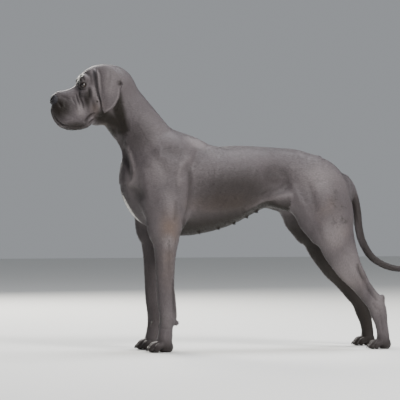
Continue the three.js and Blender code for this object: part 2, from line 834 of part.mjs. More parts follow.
function outward({ points, faces }) {
  let volume = 0;
  for (const [a, b, c] of faces) {
    const [pa, pb, pc] = [points[a], points[b], points[c]];
    volume += pa[0] * (pb[1] * pc[2] - pb[2] * pc[1]) - pa[1] * (pb[0] * pc[2] - pb[2] * pc[0])
      + pa[2] * (pb[0] * pc[1] - pb[1] * pc[0]);
  }
  return { points, faces: volume < 0 ? faces.map(([a, b, c]) => [a, c, b]) : faces };
}

// A tapered horn along a curve, with its root and tip closed, or the room it needs around it
function hornMesh(line, radii, sides, room) {
  const points = [];
  const faces = [];
  const vectors = line.map((place) => new THREE.Vector3(...place));
  const rootStep = vectors[0].clone().sub(vectors[1]).setLength(room);
  const tipStep = vectors.at(-1).clone().sub(vectors.at(-2)).setLength(room);
  vectors[0].add(rootStep);
  vectors.at(-1).add(tipStep);
  const path = vectors.map((vector) => vector.toArray());
  path.forEach((centre, i) => {
    const next = path[Math.min(i + 1, path.length - 1)];
    const before = path[Math.max(i - 1, 0)];
    const along = new THREE.Vector3(...next).sub(new THREE.Vector3(...before)).normalize();
    const across = new THREE.Vector3(0, 1, 0);
    const up = along.clone().cross(across).normalize();
    for (let s = 0; s < sides; s++) {
      const angle = 2 * Math.PI * s / sides;
      const offset = across.clone().multiplyScalar(Math.cos(angle) * (radii[i] * 0.8 + room))
        .addScaledVector(up, Math.sin(angle) * (radii[i] + room));
      points.push([centre[0] + offset.x, centre[1] + offset.y, centre[2] + offset.z]);
    }
  });
  for (let i = 0; i < path.length - 1; i++) {
    for (let s = 0; s < sides; s++) {
      const t = (s + 1) % sides;
      const [a, b, c, d] = [i * sides + s, i * sides + t, (i + 1) * sides + t, (i + 1) * sides + s];
      faces.push([a, b, c], [a, c, d]);
    }
  }
  for (let s = 1; s < sides - 1; s++) {
    const end = (path.length - 1) * sides;
    faces.push([0, s + 1, s], [end, end + s, end + s + 1]);
  }
  return outward({ points, faces });
}

const CLAW_RADII = [5.2, 4.6, 3.4, 1.0];
const CLAW_ROOM = 0.4;

function clawMesh(foot, toe, scale, side, lag, room = 0) {
  const x = foot[0] - toe.reach * scale + lag;
  const y = side * (foot[1] + toe.side * scale);
  const path = [[x + 6, y, 20], [x - 4, y, 17.5], [x - 11, y, 12], [x - 15, y, 4.5]];
  const scaled = path.map(([px, py, pz]) => [x + (px - x) * scale, py, pz * scale]);
  return hornMesh(scaled, CLAW_RADII.map((radius) => radius * scale), 6, room);
}

function dewclawMesh(side, room = 0) {
  const y = side * 67;
  const path = [[-168, side * 76, 112], [-174, side * 70, 106], [-179, y, 99], [-181, y, 90]];
  return hornMesh(path, CLAW_RADII, 6, room);
}

function ellipsoidSolid([x, y, z], [rx, ry, rz], turn = 0, segments = 14) {
  const geometry = new THREE.SphereGeometry(1, segments, Math.round(segments * 0.7));
  geometry.scale(rx, ry, rz);
  geometry.rotateZ(turn);
  geometry.translate(x, y, z);
  return solidOfGeometry(geometry);
}

// Head
const NOSE_WING = [-574, 13, 953, 13, 11, 13, 0];
const NOSE_BACK = { at: [-557, 960], normal: [-1, 0.12] };
const NOSTRIL = { centre: [-584, 10, 957], size: [9, 4.5, 5.5] };
const LID_OPENING = { out: 12.5, size: [10, 8, 6], turn: 0.36 };

const noseForms = [[ball(NOSE_LEATHER), 8], [paired(ball(NOSE_WING)), 8]];
const jawForms = [[limb(LOWER_JAW), 8]];

function wholeBox(forms, pad) {
  const box = new THREE.Box3();
  forms.forEach(([form]) => box.union(form.box));
  return box.expandByScalar(pad);
}

const bodySurface = bodyDistance(bodyForms);
const COARSE = 0.74; // below 1 thins every part out further

function bodyPart(box, cell, target, weightAt) {
  const [x0, x1, y0, y1, z0, z1] = box;
  const bounds = new THREE.Box3(new THREE.Vector3(x0, y0, z0), new THREE.Vector3(x1, y1, z1));
  return solidOf(smoothMesh(bodySurface, bounds, cell, Math.round(target * COARSE), weightAt));
}

// Detail is kept where the face has it
function headWeight([x, y, z]) {
  const nearEye = Math.hypot(x + 466, Math.abs(y) - 40, z - 1014) < 30;
  const muzzle = x < -430;
  return (nearEye ? 8 : 1) * (muzzle ? 2.5 : 1);
}

const parts = [];
function part(name, solid, finish) {
  const mesh = new THREE.Mesh(geometryOf(largestPiece(solid)), new THREE.MeshStandardMaterial(finish));
  mesh.name = name;
  parts.push(mesh);
}

const SIDES = [['left', -1], ['right', 1]];
const FEET = [
  { name: 'front', foot: FORE_FOOT, scale: 1, lag: () => 0 },
  { name: 'hind', foot: HIND_FOOT, scale: HIND_FOOT_SCALE, lag: (side) => (side > 0 ? RIGHT_HIND_LAG : 0) },
];
const TOE_NAMES = ['inner', 'second', 'third', 'outer'];

function makeHead() {
  const noseMesh = smoothMesh(bodyDistance(noseForms), wholeBox(noseForms, 8), 4, 260);
  const noseBack = beyondPlane(NOSE_BACK);
  let nose = solidOf(noseMesh).intersect(noseBack);
  const noseRoom = solidOf(swollen(noseMesh, 0.4)).intersect(noseBack.translate([GAP, 0, 0]));
  const jawMesh = smoothMesh(bodyDistance(jawForms), wholeBox(jawForms, 10), 5, 240);
  const jaw = solidOf(jawMesh);
  const jawRoom = solidOf(swollen(jawMesh, 0.45));

  let head = bodyPart([-610, -250, -100, 100, 800, 1130], 6, 3000, headWeight)
    .intersect(beyondPlane(HEAD_PLANE)).subtract(noseRoom).subtract(jawRoom);
  const [ex, ey, ez] = EYE_CENTRE;
  for (const [name, side] of SIDES) {
    const centre = [ex, side * ey, ez];
    const room = ellipsoidSolid(centre, Array(3).fill(EYE_RADIUS + 0.35));
    const turn = -side * LID_OPENING.turn;
    const opening = ellipsoidSolid(
      [ex - Math.sin(LID_OPENING.turn) * LID_OPENING.out, side * (ey + LID_OPENING.out), ez + 1],
      LID_OPENING.size, turn);
    head = head.subtract(room).subtract(opening);
    part(`${name}_eye`, ellipsoidSolid(centre, Array(3).fill(EYE_RADIUS)), EYE);
    const [nx, ny, nz] = NOSTRIL.centre;
    nose = nose.subtract(ellipsoidSolid([nx, side * ny, nz], NOSTRIL.size, side * 0.5, 10));
    const [hx, hy, hz, hrx, hry, hrz] = EAR_HOLLOW;
    head = head.subtract(ellipsoidSolid([hx, side * hy, hz], [hrx, hry, hrz], 0, 12));
  }
  head = largestPiece(head);
  const headRoom = grown(head);
  for (const [name, side] of SIDES) {
    const ear = solidOf(sheetSolid(EAR_ROWS, EAR_COLUMNS, EAR_STEPS, EAR_THICKNESS, side));
    part(`${name}_ear`, ear.subtract(headRoom), COAT);
  }
  part('head', head, COAT);
  part('nose', nose, LEATHER);
  part('lower_jaw', jaw, COAT);
}

function makeTrunk() {
  const tail = tailPrism();
  const limbs = SIDES.map(([, side]) => grown(upperArmCutter(side)).add(grown(thighCutter(side)))
    .add(grown(lowerForeLeg(side))).add(grown(lowerHindLeg(side))));
  const neck = bodyPart([-470, -60, -150, 150, 640, 1130], 14, 560)
    .intersect(beyondPlane(flipped(HEAD_PLANE))).intersect(beyondPlane(NECK_PLANE));
  part('neck', neck, COAT);
  const torso = bodyPart([-360, 700, -170, 170, 400, 900], 15, 1800)
    .intersect(beyondPlane(flipped(NECK_PLANE)))
    .subtract(limbs[0]).subtract(limbs[1]).subtract(grown(tail));
  part('torso', torso, COAT);
  const wholeTail = bodyPart([570, 960, -60, 60, 270, 720], 7, 420).intersect(tail);
  const lower = wholeTail.intersect(below(TAIL_SPLIT_HEIGHT));
  part('tail_root', wholeTail.intersect(above(TAIL_SPLIT_HEIGHT)), COAT);
  part('tail_middle', lower.intersect(beyond([TAIL_SPLIT_X, 0], [-1, 0])), COAT);
  part('tail_tip', lower.intersect(beyond([TAIL_SPLIT_X, 0], [1, 0])), COAT);
}

function across(side, inner, outer) {
  return side < 0 ? [-outer, -inner] : [inner, outer];
}

function makeForeLeg(name, side) {
  const arm = bodyPart([-300, -30, ...across(side, 20, 180), 400, 770], 11, 520);
  part(`${name}_upper_arm`, arm.intersect(upperArmCutter(side)), COAT);
  const reach = lowerForeLeg(side);
  const leg = bodyPart([-260, -70, ...across(side, 30, 150), 100, 470], 8, 420).intersect(reach);
  part(`${name}_forearm`, leg.intersect(above(WRIST_HEIGHT)), COAT);
  const foot = bodyPart([-260, -100, ...across(side, 30, 160), -16, 160], 5, 900).intersect(reach);
  const rooms = [dewclawMesh(side, CLAW_ROOM),
    ...TOES.map((toe) => clawMesh(FORE_FOOT, toe, 1, side, 0, CLAW_ROOM))];
  const bare = rooms.reduce((whole, room) => whole.subtract(solidOf(room)), foot);
  part(`${name}_front_pastern`, bare.intersect(below(WRIST_HEIGHT)).intersect(above(PAW_HEIGHT)), COAT);
  part(`${name}_front_paw`, bare.intersect(below(PAW_HEIGHT)).intersect(above(-GAP / 2)), COAT);
  part(`${name}_dewclaw`, solidOf(dewclawMesh(side)), HORN);
}

function makeHindLeg(name, side) {
  const thigh = bodyPart([290, 670, ...across(side, 0, 190), 320, 760], 12, 700);
  part(`${name}_thigh`, thigh.intersect(thighCutter(side)), COAT);
  const reach = lowerHindLeg(side);
  const leg = bodyPart([400, 770, ...across(side, 50, 170), 130, 520], 9, 420).intersect(reach);
  part(`${name}_lower_leg`, leg.intersect(beyondPlane(HOCK_PLANE)), COAT);
  const foot = bodyPart([600, 780, ...across(side, 50, 180), -16, 250], 5.5, 950).intersect(reach)
    .intersect(beyondPlane(flipped(HOCK_PLANE)));
  const lag = side > 0 ? RIGHT_HIND_LAG : 0;
  const rooms = TOES.map((toe) => clawMesh(HIND_FOOT, toe, HIND_FOOT_SCALE, side, lag, CLAW_ROOM));
  const bare = rooms.reduce((whole, room) => whole.subtract(solidOf(room)), foot);
  part(`${name}_hock`, bare.intersect(above(PAW_HEIGHT)), COAT);
  part(`${name}_hind_paw`, bare.intersect(below(PAW_HEIGHT)).intersect(above(-GAP / 2)), COAT);
}

function makeClaws() {
  for (const { name, foot, scale, lag } of FEET) {
    for (const [sideName, side] of SIDES) {
      TOES.forEach((toe, i) => {
        part(`${sideName}_${name}_claw_${TOE_NAMES[i]}`,
          solidOf(clawMesh(foot, toe, scale, side, lag(side))), HORN);
      });
    }
  }
}

makeHead();
makeTrunk();
for (const [name, side] of SIDES) {
  makeForeLeg(name, side);
  makeHindLeg(name, side);
}
makeClaws();

// The frame's origin lies on the floor under the middle of the dog
const group = new THREE.Group();
group.add(...parts);
const extent = new THREE.Box3().setFromObject(group);
const middle = extent.getCenter(new THREE.Vector3());
group.scale.setScalar(SIZE);
group.position.set(-middle.x * SIZE, -middle.y * SIZE, -extent.min.z * SIZE);

export default group;
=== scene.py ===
"""A standing Great Dane: its coat, face, eyes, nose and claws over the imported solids.

The body's stations and balls are written in the dog's own millimetres: x runs from the nose to
the tail, with 0 a little behind the shoulders, y to the right side and z up from the ground.
place() moves them to the frame, in metres. One smooth volume made of them is meshed finely as the
skin, then folds, ridges and tufts of hair are worked into it.
"""

import math

import bpy
import numpy as np
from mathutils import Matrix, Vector
from mathutils.bvhtree import BVHTree


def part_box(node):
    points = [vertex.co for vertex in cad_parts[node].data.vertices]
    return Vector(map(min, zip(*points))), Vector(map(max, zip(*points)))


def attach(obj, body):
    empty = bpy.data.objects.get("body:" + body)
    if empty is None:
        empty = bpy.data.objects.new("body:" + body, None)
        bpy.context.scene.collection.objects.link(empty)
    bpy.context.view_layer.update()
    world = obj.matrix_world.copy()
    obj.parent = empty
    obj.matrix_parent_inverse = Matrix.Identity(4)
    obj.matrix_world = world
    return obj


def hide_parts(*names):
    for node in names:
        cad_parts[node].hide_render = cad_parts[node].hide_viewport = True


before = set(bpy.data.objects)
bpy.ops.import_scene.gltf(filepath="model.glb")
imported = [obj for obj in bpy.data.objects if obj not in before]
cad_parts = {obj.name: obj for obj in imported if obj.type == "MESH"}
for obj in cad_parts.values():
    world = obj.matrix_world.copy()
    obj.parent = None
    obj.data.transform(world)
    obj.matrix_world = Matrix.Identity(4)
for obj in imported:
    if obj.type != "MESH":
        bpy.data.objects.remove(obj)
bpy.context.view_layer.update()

# Driving dimensions, in the dog's own millimetres
EYE_CENTRE = (-467.0, 40.0, 1012.0)
EYE_RADIUS = 12.0
EAR_THICKNESS = 5.5
RIGHT_HIND_LAG = 12.0
COAT_DEPTH = 1.0
GROUND_GAP = 0.3
SOCKET_RADIUS = EYE_RADIUS + 0.2
EYEBALL_RADIUS = EYE_RADIUS - 0.4
MM = 0.001

# The volume is worked out in cubes of BLOCK, each from the forms that reach within MARGIN of it
BLOCK = 56.0
MARGIN = 15.0
FAR = 1e3
MOST_BLOCKS = 128

# Stations of a limb: x, y, z, reach to the back or top, reach to the front or below, and reach
# to the side
TORSO = [
    (-176, 0, 640, 146, 138, 94), (-100, 0, 640, 186, 196, 114), (-20, 0, 640, 160, 192, 124),
    (60, 0, 645, 139, 175, 128), (140, 0, 655, 132, 148, 122), (220, 0, 666, 119, 125, 106),
    (300, 0, 671, 109, 122, 94), (380, 0, 668, 105, 104, 94), (460, 0, 656, 84, 84, 90),
    (530, 0, 632, 68, 72, 76), (574, 0, 608, 54, 58, 52),
]
NECK = [
    (-352, 0, 976, 96, 92, 60), (-311, 0, 924, 99, 90, 62), (-257, 0, 855, 103, 90, 68),
    (-213, 0, 782, 116, 99, 82), (-165, 0, 705, 124, 130, 96),
]
FORE_LEG = [
    (-112, 62, 762, 62, 62, 30), (-150, 76, 670, 84, 88, 42), (-172, 86, 585, 97, 82, 45),
    (-165, 92, 525, 88, 74, 43), (-166, 95, 468, 63, 65, 38), (-161, 95, 434, 54, 54, 34),
    (-161, 95, 400, 46, 46, 31), (-162, 95, 349, 39, 39, 28), (-162, 95, 298, 36, 36, 26),
    (-161, 95, 248, 34.5, 34.5, 25), (-157, 95, 197, 36, 36, 27), (-153, 95, 160, 35, 35, 29),
    (-151, 95, 129, 33, 33, 28), (-158, 95, 100, 27, 27, 25), (-162, 95, 61, 29, 29, 27),
    (-165, 95, 36, 30, 32, 30),
]
HIND_LEG = [
    (466, 58, 668, 70, 80, 40), (462, 76, 606, 108, 110, 50), (468, 90, 530, 122, 110, 46),
    (492, 100, 462, 95, 70, 39), (524, 107, 390, 73, 64, 33), (566, 110, 318, 52, 54, 29),
    (597, 110, 274, 41, 42, 25), (624, 110, 237, 34, 35, 22), (651, 110, 204, 33, 33, 21),
    (676, 110, 172, 36, 34, 22), (689, 110, 138, 33, 33, 22), (698, 110, 100, 27, 26, 20),
    (706, 110, 60, 25, 25, 21), (707, 110, 34, 26, 28, 25),
]
TAIL = [
    (582, 0, 654, 24, 24, 22), (602, 0, 634, 20, 20, 19), (625, 0, 590, 17, 17, 17),
    (638, 0, 532, 16, 16, 15.5), (644, 0, 472, 16, 16, 15.5), (660, 0, 412, 15.5, 15.5, 15),
    (699, 0, 353, 14.5, 14.5, 14), (757, 0, 318, 13, 13, 12.5), (818, 0, 306, 11.5, 11.5, 11),
    (872, 0, 312, 9.5, 9.5, 9), (918, 0, 324, 6.5, 6.5, 6.5),
]
MUZZLE = [
    (-552, 0, 958, 33, 30, 24), (-515, 0, 955, 42, 50, 31), (-470, 0, 950, 62, 60, 38),
    (-420, 0, 950, 80, 70, 44),
]
FLEW = [
    (-546, 16, 922, 38, 40, 22), (-518, 24, 904, 52, 57, 21), (-480, 27, 899, 58, 55, 22),
    (-458, 28, 900, 42, 43, 22),
]
LOWER_JAW = [
    (-546, 0, 866, 13, 14, 17), (-515, 0, 866, 13, 14, 21), (-470, 0, 868, 14, 15, 24),
    (-432, 0, 876, 16, 12, 24),
]

# Balls: centre, half sizes, tilt of the long axis in degrees
SKULL = (-375, 0, 1010, 110, 64, 85, 0)
CHEEK = (-408, 44, 950, 50, 22, 52, 0)
BROW = (-463, 33, 1034, 19, 20, 16, 25)
EYE_BULGE = (-467, 39, 1012, 16, 15.5, 15.5, 0)
CHEEKBONE = (-446, 42, 992, 34, 16, 16, 15)
THROAT = (-404, 0, 892, 40, 34, 32, 10)
CREST = (-334, 0, 1028, 34, 26, 34, 35)
CHEST_FRONT = (-188, 0, 640, 84, 90, 124, -8)
WITHERS = (-70, 0, 772, 84, 38, 46, -22)
POINT_OF_SHOULDER = (-214, 66, 632, 42, 40, 60, 0)
RUMP = (548, 48, 596, 28, 42, 56, -20)
FLANK = (318, 70, 576, 66, 32, 34, -12)
HOCK_POINT = (699, 110, 192, 14, 13, 20, -20)
STIFLE = (448, 104, 448, 20, 24, 38, -25)
ELBOW = (-126, 96, 466, 14, 20, 26, 10)
CARPAL_PAD = (-121, 95, 111, 13, 11, 11, 0)
FORE_HEEL_PAD = (-160, 95, 18, 30, 30, 24, 0)
HIND_HEEL_PAD = (712, 110, 18, 27, 26, 22, 0)
NOSE_LEATHER = (-566, 0, 956, 20, 22, 23, 0)
NOSE_WING = (-573, 12, 951, 12.5, 10.5, 12, 0)

# Toes: offset to the side, reach ahead of the foot's centre, half width, height
TOES = [(-27, 36, 11.5, 36), (-10, 50, 11.5, 42), (10, 50, 11.5, 42), (27, 36, 11.5, 36)]
FORE_FOOT = (-170, 95)
HIND_FOOT = (700, 110)
HIND_FOOT_SCALE = 0.9

EAR_ROWS = [
    [(-410, 40, 1066), (-372, 42, 1072), (-330, 46, 1044)],
    [(-419, 57, 1080), (-374, 66, 1083), (-323, 63, 1046)],
    [(-421, 68, 1056), (-378, 80, 1052), (-325, 73, 1026)],
    [(-418, 73, 1018), (-379, 85, 1014), (-333, 75, 1000)],
    [(-414, 75, 984), (-380, 85, 978), (-338, 76, 968)],
    [(-405, 76, 952), (-380, 82, 946), (-350, 76, 944)],
    [(-400, 75, 926), (-384, 78, 922), (-362, 75, 926)],
    [(-396, 74, 911), (-392, 75, 908), (-386, 74, 911)],
]

# The dog's own millimetres start at a point that the eyes give
left_eye_low, left_eye_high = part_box("left_eye")
eye_middle = (left_eye_low + left_eye_high) / 2
OFFSET = np.array([
    eye_middle.x - EYE_CENTRE[0] * MM,
    eye_middle.y + EYE_CENTRE[1] * MM,
    0.0,
])


def place(points):
    """The dog's own millimetres as places in the frame, in metres."""
    return np.asarray(points, float) * MM + OFFSET


# Distance forms
def ellipsoid_distance(u, v, w, ru, rv, rw):
    """About how far points lie outside an ellipsoid."""
    a, b, c = u / ru, v / rv, w / rw
    inner = np.sqrt(a * a + b * b + c * c)
    slope = np.sqrt((a / ru) ** 2 + (b / rv) ** 2 + (c / rw) ** 2)
    return inner * (inner - 1.0) / np.maximum(slope, 1e-9)


def catmull_rom(a, b, c, d, t):
    return 0.5 * (2 * b + (c - a) * t + (2 * a - 5 * b + 4 * c - d) * t * t
                  + (3 * b - a - 3 * c + d) * t * t * t)


def smooth_rows(rows, steps):
    """A smooth curve through rows of numbers."""
    rows = np.asarray(rows, float)
    out = []
    for i in range(len(rows) - 1):
        before, after = rows[max(i - 1, 0)], rows[min(i + 2, len(rows) - 1)]
        for s in range(steps):
            out.append(catmull_rom(before, rows[i], rows[i + 1], after, s / steps))
    out.append(rows[-1])
    return np.array(out)


class Form:
    """A rounded volume: its box, and the distance from points to its surface."""

    def __init__(self, low, high, measure, blend, pair=False):
        self.low, self.high = np.array(low, float), np.array(high, float)
        self.measure, self.blend, self.pair = measure, blend, pair
        if pair:
            self.low[1] = -self.high[1]

    def distance(self, points):
        if not self.pair:
            return self.measure(points)
        if points[:, 1].min() > BLOCK:
            return self.measure(points)
        if points[:, 1].max() < -BLOCK:
            return self.measure(points * (1, -1, 1))
        return np.minimum(self.measure(points), self.measure(points * (1, -1, 1)))


def limb(stations, blend, pair=False, steps=4):
    """A rounded tube through its stations, with a cap at each end."""
    rows = smooth_rows(stations, steps)
    reach = rows[:, 3:6].max(axis=1)[:, None]
    row_low, row_high = rows[:, :3] - reach, rows[:, :3] + reach
    piece_low = np.minimum(row_low[:-1], row_low[1:])
    piece_high = np.maximum(row_high[:-1], row_high[1:])

    def measure(points):
        best = np.full(len(points), FAR)
        last = len(rows) - 2
        gap = np.maximum(piece_low - points.max(0), points.min(0) - piece_high).max(1)
        for i in np.nonzero(gap < blend + MARGIN)[0]:
            a, line = rows[i], rows[i + 1] - rows[i]
            square = line[:3] @ line[:3]
            along = (points - a[:3]) @ line[:3] / square
            t = np.clip(along, 0, 1)
            p = points - a[:3] - t[:, None] * line[:3]
            plane = math.hypot(line[0], line[2])
            up = (p[:, 2] * line[0] - p[:, 0] * line[2]) / plane
            run = p @ line[:3] / math.sqrt(square)
            side = np.sqrt(np.maximum((p * p).sum(1) - up * up - run * run, 0))
            top, under, wide = (a[c] + line[c] * t for c in (3, 4, 5))
            reach_up = np.where(up > 0, top, under)
            end = ((along < 0) & (i == 0)) | ((along > 1) & (i == last))
            cap = np.where(end, np.minimum(np.minimum(top, under), wide), reach_up)
            np.minimum(best, ellipsoid_distance(up, side, run, reach_up, wide, cap), out=best)
        return best

    return Form(row_low.min(0), row_high.max(0), measure, blend, pair)


def ball(values, blend, pair=False):
    """An ellipsoid, turned in the side view by its tilt."""
    cx, cy, cz, rx, ry, rz, tilt = values
    cos, sin = math.cos(math.radians(tilt)), math.sin(math.radians(tilt))
    centre, reach = np.array([cx, cy, cz]), max(rx, ry, rz)

    def measure(points):
        d = points - centre
        return ellipsoid_distance(d[:, 0] * cos + d[:, 2] * sin, d[:, 1],
                                  d[:, 2] * cos - d[:, 0] * sin, rx, ry, rz)

    return Form(centre - reach, centre + reach, measure, blend, pair)


def toe_forms(foot, scale):
    """Four arched toes: each goes from the foot over a knuckle to the ground."""
    forms = []
    for side, reach, width, height in TOES:
        x, y, half = foot[0], foot[1] + side * scale, width * scale
        root = (x - reach * scale * 0.35, foot[1] + side * scale * 0.8, height * 0.72 * scale,
                13 * scale, 13 * scale, half)
        knuckle = (x - reach * scale * 0.72, y, height * 0.6 * scale, 13 * scale, 14 * scale, half)
        tip = (x - reach * scale + 4, y, 11 * scale, 12 * scale, 14 * scale, half * 0.95)
        forms.append(limb([root, knuckle, tip], 5, pair=True, steps=3))
    return forms


BODY = [
    limb(TORSO, 30), limb(NECK, 50), ball(CHEST_FRONT, 50), ball(WITHERS, 40), ball(SKULL, 30),
    ball(CREST, 40), ball(THROAT, 20), limb(MUZZLE, 24), limb(FLEW, 14, True),
    ball(CHEEK, 22, True), ball(CHEEKBONE, 16, True), ball(BROW, 12, True),
    ball(EYE_BULGE, 8, True), limb(FORE_LEG, 36, True), ball(POINT_OF_SHOULDER, 40, True),
    ball(ELBOW, 18, True), ball(CARPAL_PAD, 6, True), ball(FORE_HEEL_PAD, 10, True),
    limb(HIND_LEG, 40, True), ball(RUMP, 34, True), ball(FLANK, 50, True),
    ball(STIFLE, 30, True), ball(HOCK_POINT, 10, True), ball(HIND_HEEL_PAD, 10, True),
    limb(TAIL, 14), *toe_forms(FORE_FOOT, 1.0), *toe_forms(HIND_FOOT, HIND_FOOT_SCALE),
]
NOSE = [ball(NOSE_LEATHER, 8), ball(NOSE_WING, 8, True)]


def smooth_min(a, b, blend):
    """The lesser of two distances, rounded off where they are close."""
    near = np.maximum(blend - np.abs(a - b), 0) / blend
    return np.minimum(a, b) - near * near * blend / 4


def smoothstep(value, low, high):
    """0 below a limit and 1 above another, with a soft way between."""
    t = np.clip((value - low) / (high - low), 0, 1)
    return t * t * (3 - 2 * t)


def lag_of(points):
    """How far the right hind leg stands back: not at all above z = 540, in full below z = 280."""
    low = smoothstep(540 - points[:, 2], 0, 260)
    right = smoothstep(points[:, 1], 10, 60)
    hind = smoothstep(points[:, 0], 300, 400)
    return RIGHT_HIND_LAG * low * right * hind


def union_distance(forms, points):
    """Distance to forms that flow into each other, each over its own blend."""
    best = np.full(len(points), FAR)
    low, high = points.min(0), points.max(0)
    for form in forms:
        if np.maximum(form.low - high, low - form.high).max() < form.blend + MARGIN:
            best = smooth_min(best, form.distance(points), form.blend)
    return best


def by_blocks(distance, points):
    """Distances found block by block, so that each block meets few forms."""
    cells = np.floor(points / BLOCK).astype(np.int64) + MOST_BLOCKS // 2
    key = np.ravel_multi_index(tuple(cells.T), (MOST_BLOCKS,) * 3)
    order = np.argsort(key, kind="stable")
    breaks = np.nonzero(np.diff(key[order]))[0] + 1
    out = np.empty(len(points))
    for block in np.split(order, breaks):
        out[block] = distance(points[block])
    return out


def smooth_cut(distance, form, points, blend):
    """Take a form away from the volume, with a rounded edge."""
    inside = (points > form.low - 20).all(1) & (points < form.high + 20).all(1)
    if inside.any():
        hole = -form.distance(points[inside])
        distance[inside] = -smooth_min(-distance[inside], -hole, blend)
    return distance


# Ears: a thin sheet with a rounded rim, hung clear of the cheek
def ear_surface(columns=24, steps=40):
    """The middle of an ear's sheet, as points and quads."""
    rails = [smooth_rows(row, columns // 2) for row in EAR_ROWS]
    ribs = [smooth_rows([rail[u] for rail in rails], 1) for u in range(columns + 1)]
    fine = []
    for rib in ribs:
        curve = smooth_rows(rib, 8)
        pick = np.linspace(0, len(curve) - 1, steps + 1)
        low = np.floor(pick).astype(int).clip(0, len(curve) - 2)
        fine.append(curve[low] + (pick - low)[:, None] * (curve[low + 1] - curve[low]))
    points = [tuple(p) for row in fine for p in row]
    faces = []
    for u in range(columns):
        for v in range(steps):
            a = u * (steps + 1) + v
            faces.append((a, a + steps + 1, a + steps + 2, a + 1))
    return points, faces


EAR_TREE = BVHTree.FromPolygons(*ear_surface())
EAR_LOW = np.array([-440.0, 30.0, 905.0])
EAR_HIGH = np.array([-305.0, 105.0, 1100.0])
EAR_SEARCH = 25.0


def ear_distance(points):
    """Distance to the ear on a point's own side; far away off its box."""
    out = np.full(len(points), FAR)
    mirrored = points.copy()
    mirrored[:, 1] = np.abs(mirrored[:, 1])
    near = (mirrored > EAR_LOW).all(1) & (mirrored < EAR_HIGH).all(1)
    for i in np.nonzero(near)[0]:
        hit = EAR_TREE.find_nearest(Vector(mirrored[i]), EAR_SEARCH)
        if hit[0] is not None:
            out[i] = hit[3] - EAR_THICKNESS / 2
    return out


EYE_SOCKETS = ball((*EYE_CENTRE, SOCKET_RADIUS, SOCKET_RADIUS, SOCKET_RADIUS, 0), 1, True)
LID_OPENING = ball((-471.5, 51, 1011.5, 10.0, 8, 5.0, 8), 1, True)
EAR_HOLLOW = ball((-345, 60, 1010, 17, 13, 19, 0), 1, True)
JAW = limb(LOWER_JAW, 8)
HEAD_FRONT = -610
HEAD_BOTTOM = 830


def block_distance(points):
    """Distance to the skin from the points of one block."""
    shifted = points.copy()
    shifted[:, 0] -= lag_of(points)
    distance = union_distance(BODY, shifted)
    low, high = points.min(0), points.max(0)
    if (low < EAR_HIGH).all() and high[0] > HEAD_FRONT and high[2] > HEAD_BOTTOM:
        distance = smooth_min(distance, JAW.distance(points), 5)
        distance = smooth_cut(distance, EAR_HOLLOW, points, 4)
        distance = smooth_cut(distance, LID_OPENING, points, 2)
        distance = smooth_cut(distance, EYE_SOCKETS, points, 0.6)
        distance = smooth_min(distance, ear_distance(points), 7)
    return np.maximum(distance + COAT_DEPTH, GROUND_GAP - points[:, 2])


def skin_distance(points):
    """The whole dog's skin, in its own millimetres."""
    return by_blocks(block_distance, points)


# Meshing on a grid that is finer at the head and the feet
def grid_lines(stretches):
    """Planes of the grid along one axis, from stretches of start, end and cell."""
    lines = [stretches[0][0]]
    for start, end, cell in stretches:
        count = max(round((end - start) / cell), 1)
        lines.extend(np.linspace(start, end, count + 1)[1:])
    return np.array(lines, float)


EYE_ROWS = 1.6
GRID = (
    grid_lines([(-604, -496, 2.6), (-496, -440, EYE_ROWS), (-440, -310, 2.6), (-310, -245, 5),
                (-245, -95, 3.5), (-95, 590, 5.5), (590, 770, 3.5), (770, 936, 4.5)]),
    grid_lines([(-150, -92, 3.4), (-92, -56, 2), (-56, -26, EYE_ROWS), (-26, 26, 3.2),
                (26, 56, EYE_ROWS), (56, 92, 2), (92, 150, 3.4)]),
    grid_lines([(-6, 70, 2.6), (70, 230, 4), (230, 835, 5.5), (835, 990, 2.6),
                (990, 1036, EYE_ROWS), (1036, 1104, 2.6)]),
)


def corner_points(lines, indices):
    """Places of grid corners, from their numbers along each axis."""
    return np.stack([lines[c][indices[:, c]] for c in range(3)], axis=1)


def sample_volume(distance, lines, stride=4):
    """Distances on the grid: exact near the surface, rough elsewhere."""
    shape = tuple(len(line) for line in lines)
    rough = [np.unique(np.append(np.arange(0, n, stride), n - 1)) for n in shape]
    mesh = np.stack(np.meshgrid(*rough, indexing="ij"), axis=-1).reshape(-1, 3)
    rough_values = distance(corner_points(lines, mesh)).reshape([len(r) for r in rough])
    nearest = [np.abs(np.arange(n)[:, None] - r[None, :]).argmin(1) for n, r in zip(shape, rough)]
    values = rough_values[np.ix_(*nearest)].astype(np.float32)
    cells = [np.gradient(line) * (stride / 2 + 0.5) for line in lines]
    radius = np.sqrt(sum(cell ** 2 for cell in np.meshgrid(*cells, indexing="ij", sparse=True)))
    near = np.argwhere(np.abs(values) < 1.25 * radius + 3)
    values[tuple(near.T)] = distance(corner_points(lines, near))
    return values


STEPS = np.eye(3, dtype=int)


def cell_edges():
    """The 12 edges of a grid cell, as pairs of corners."""
    edges = []
    for axis in range(3):
        first, second = (STEPS[other] for other in range(3) if other != axis)
        for j, i in np.ndindex(2, 2):
            start = i * first + j * second
            edges.append((start, start + STEPS[axis]))
    return edges


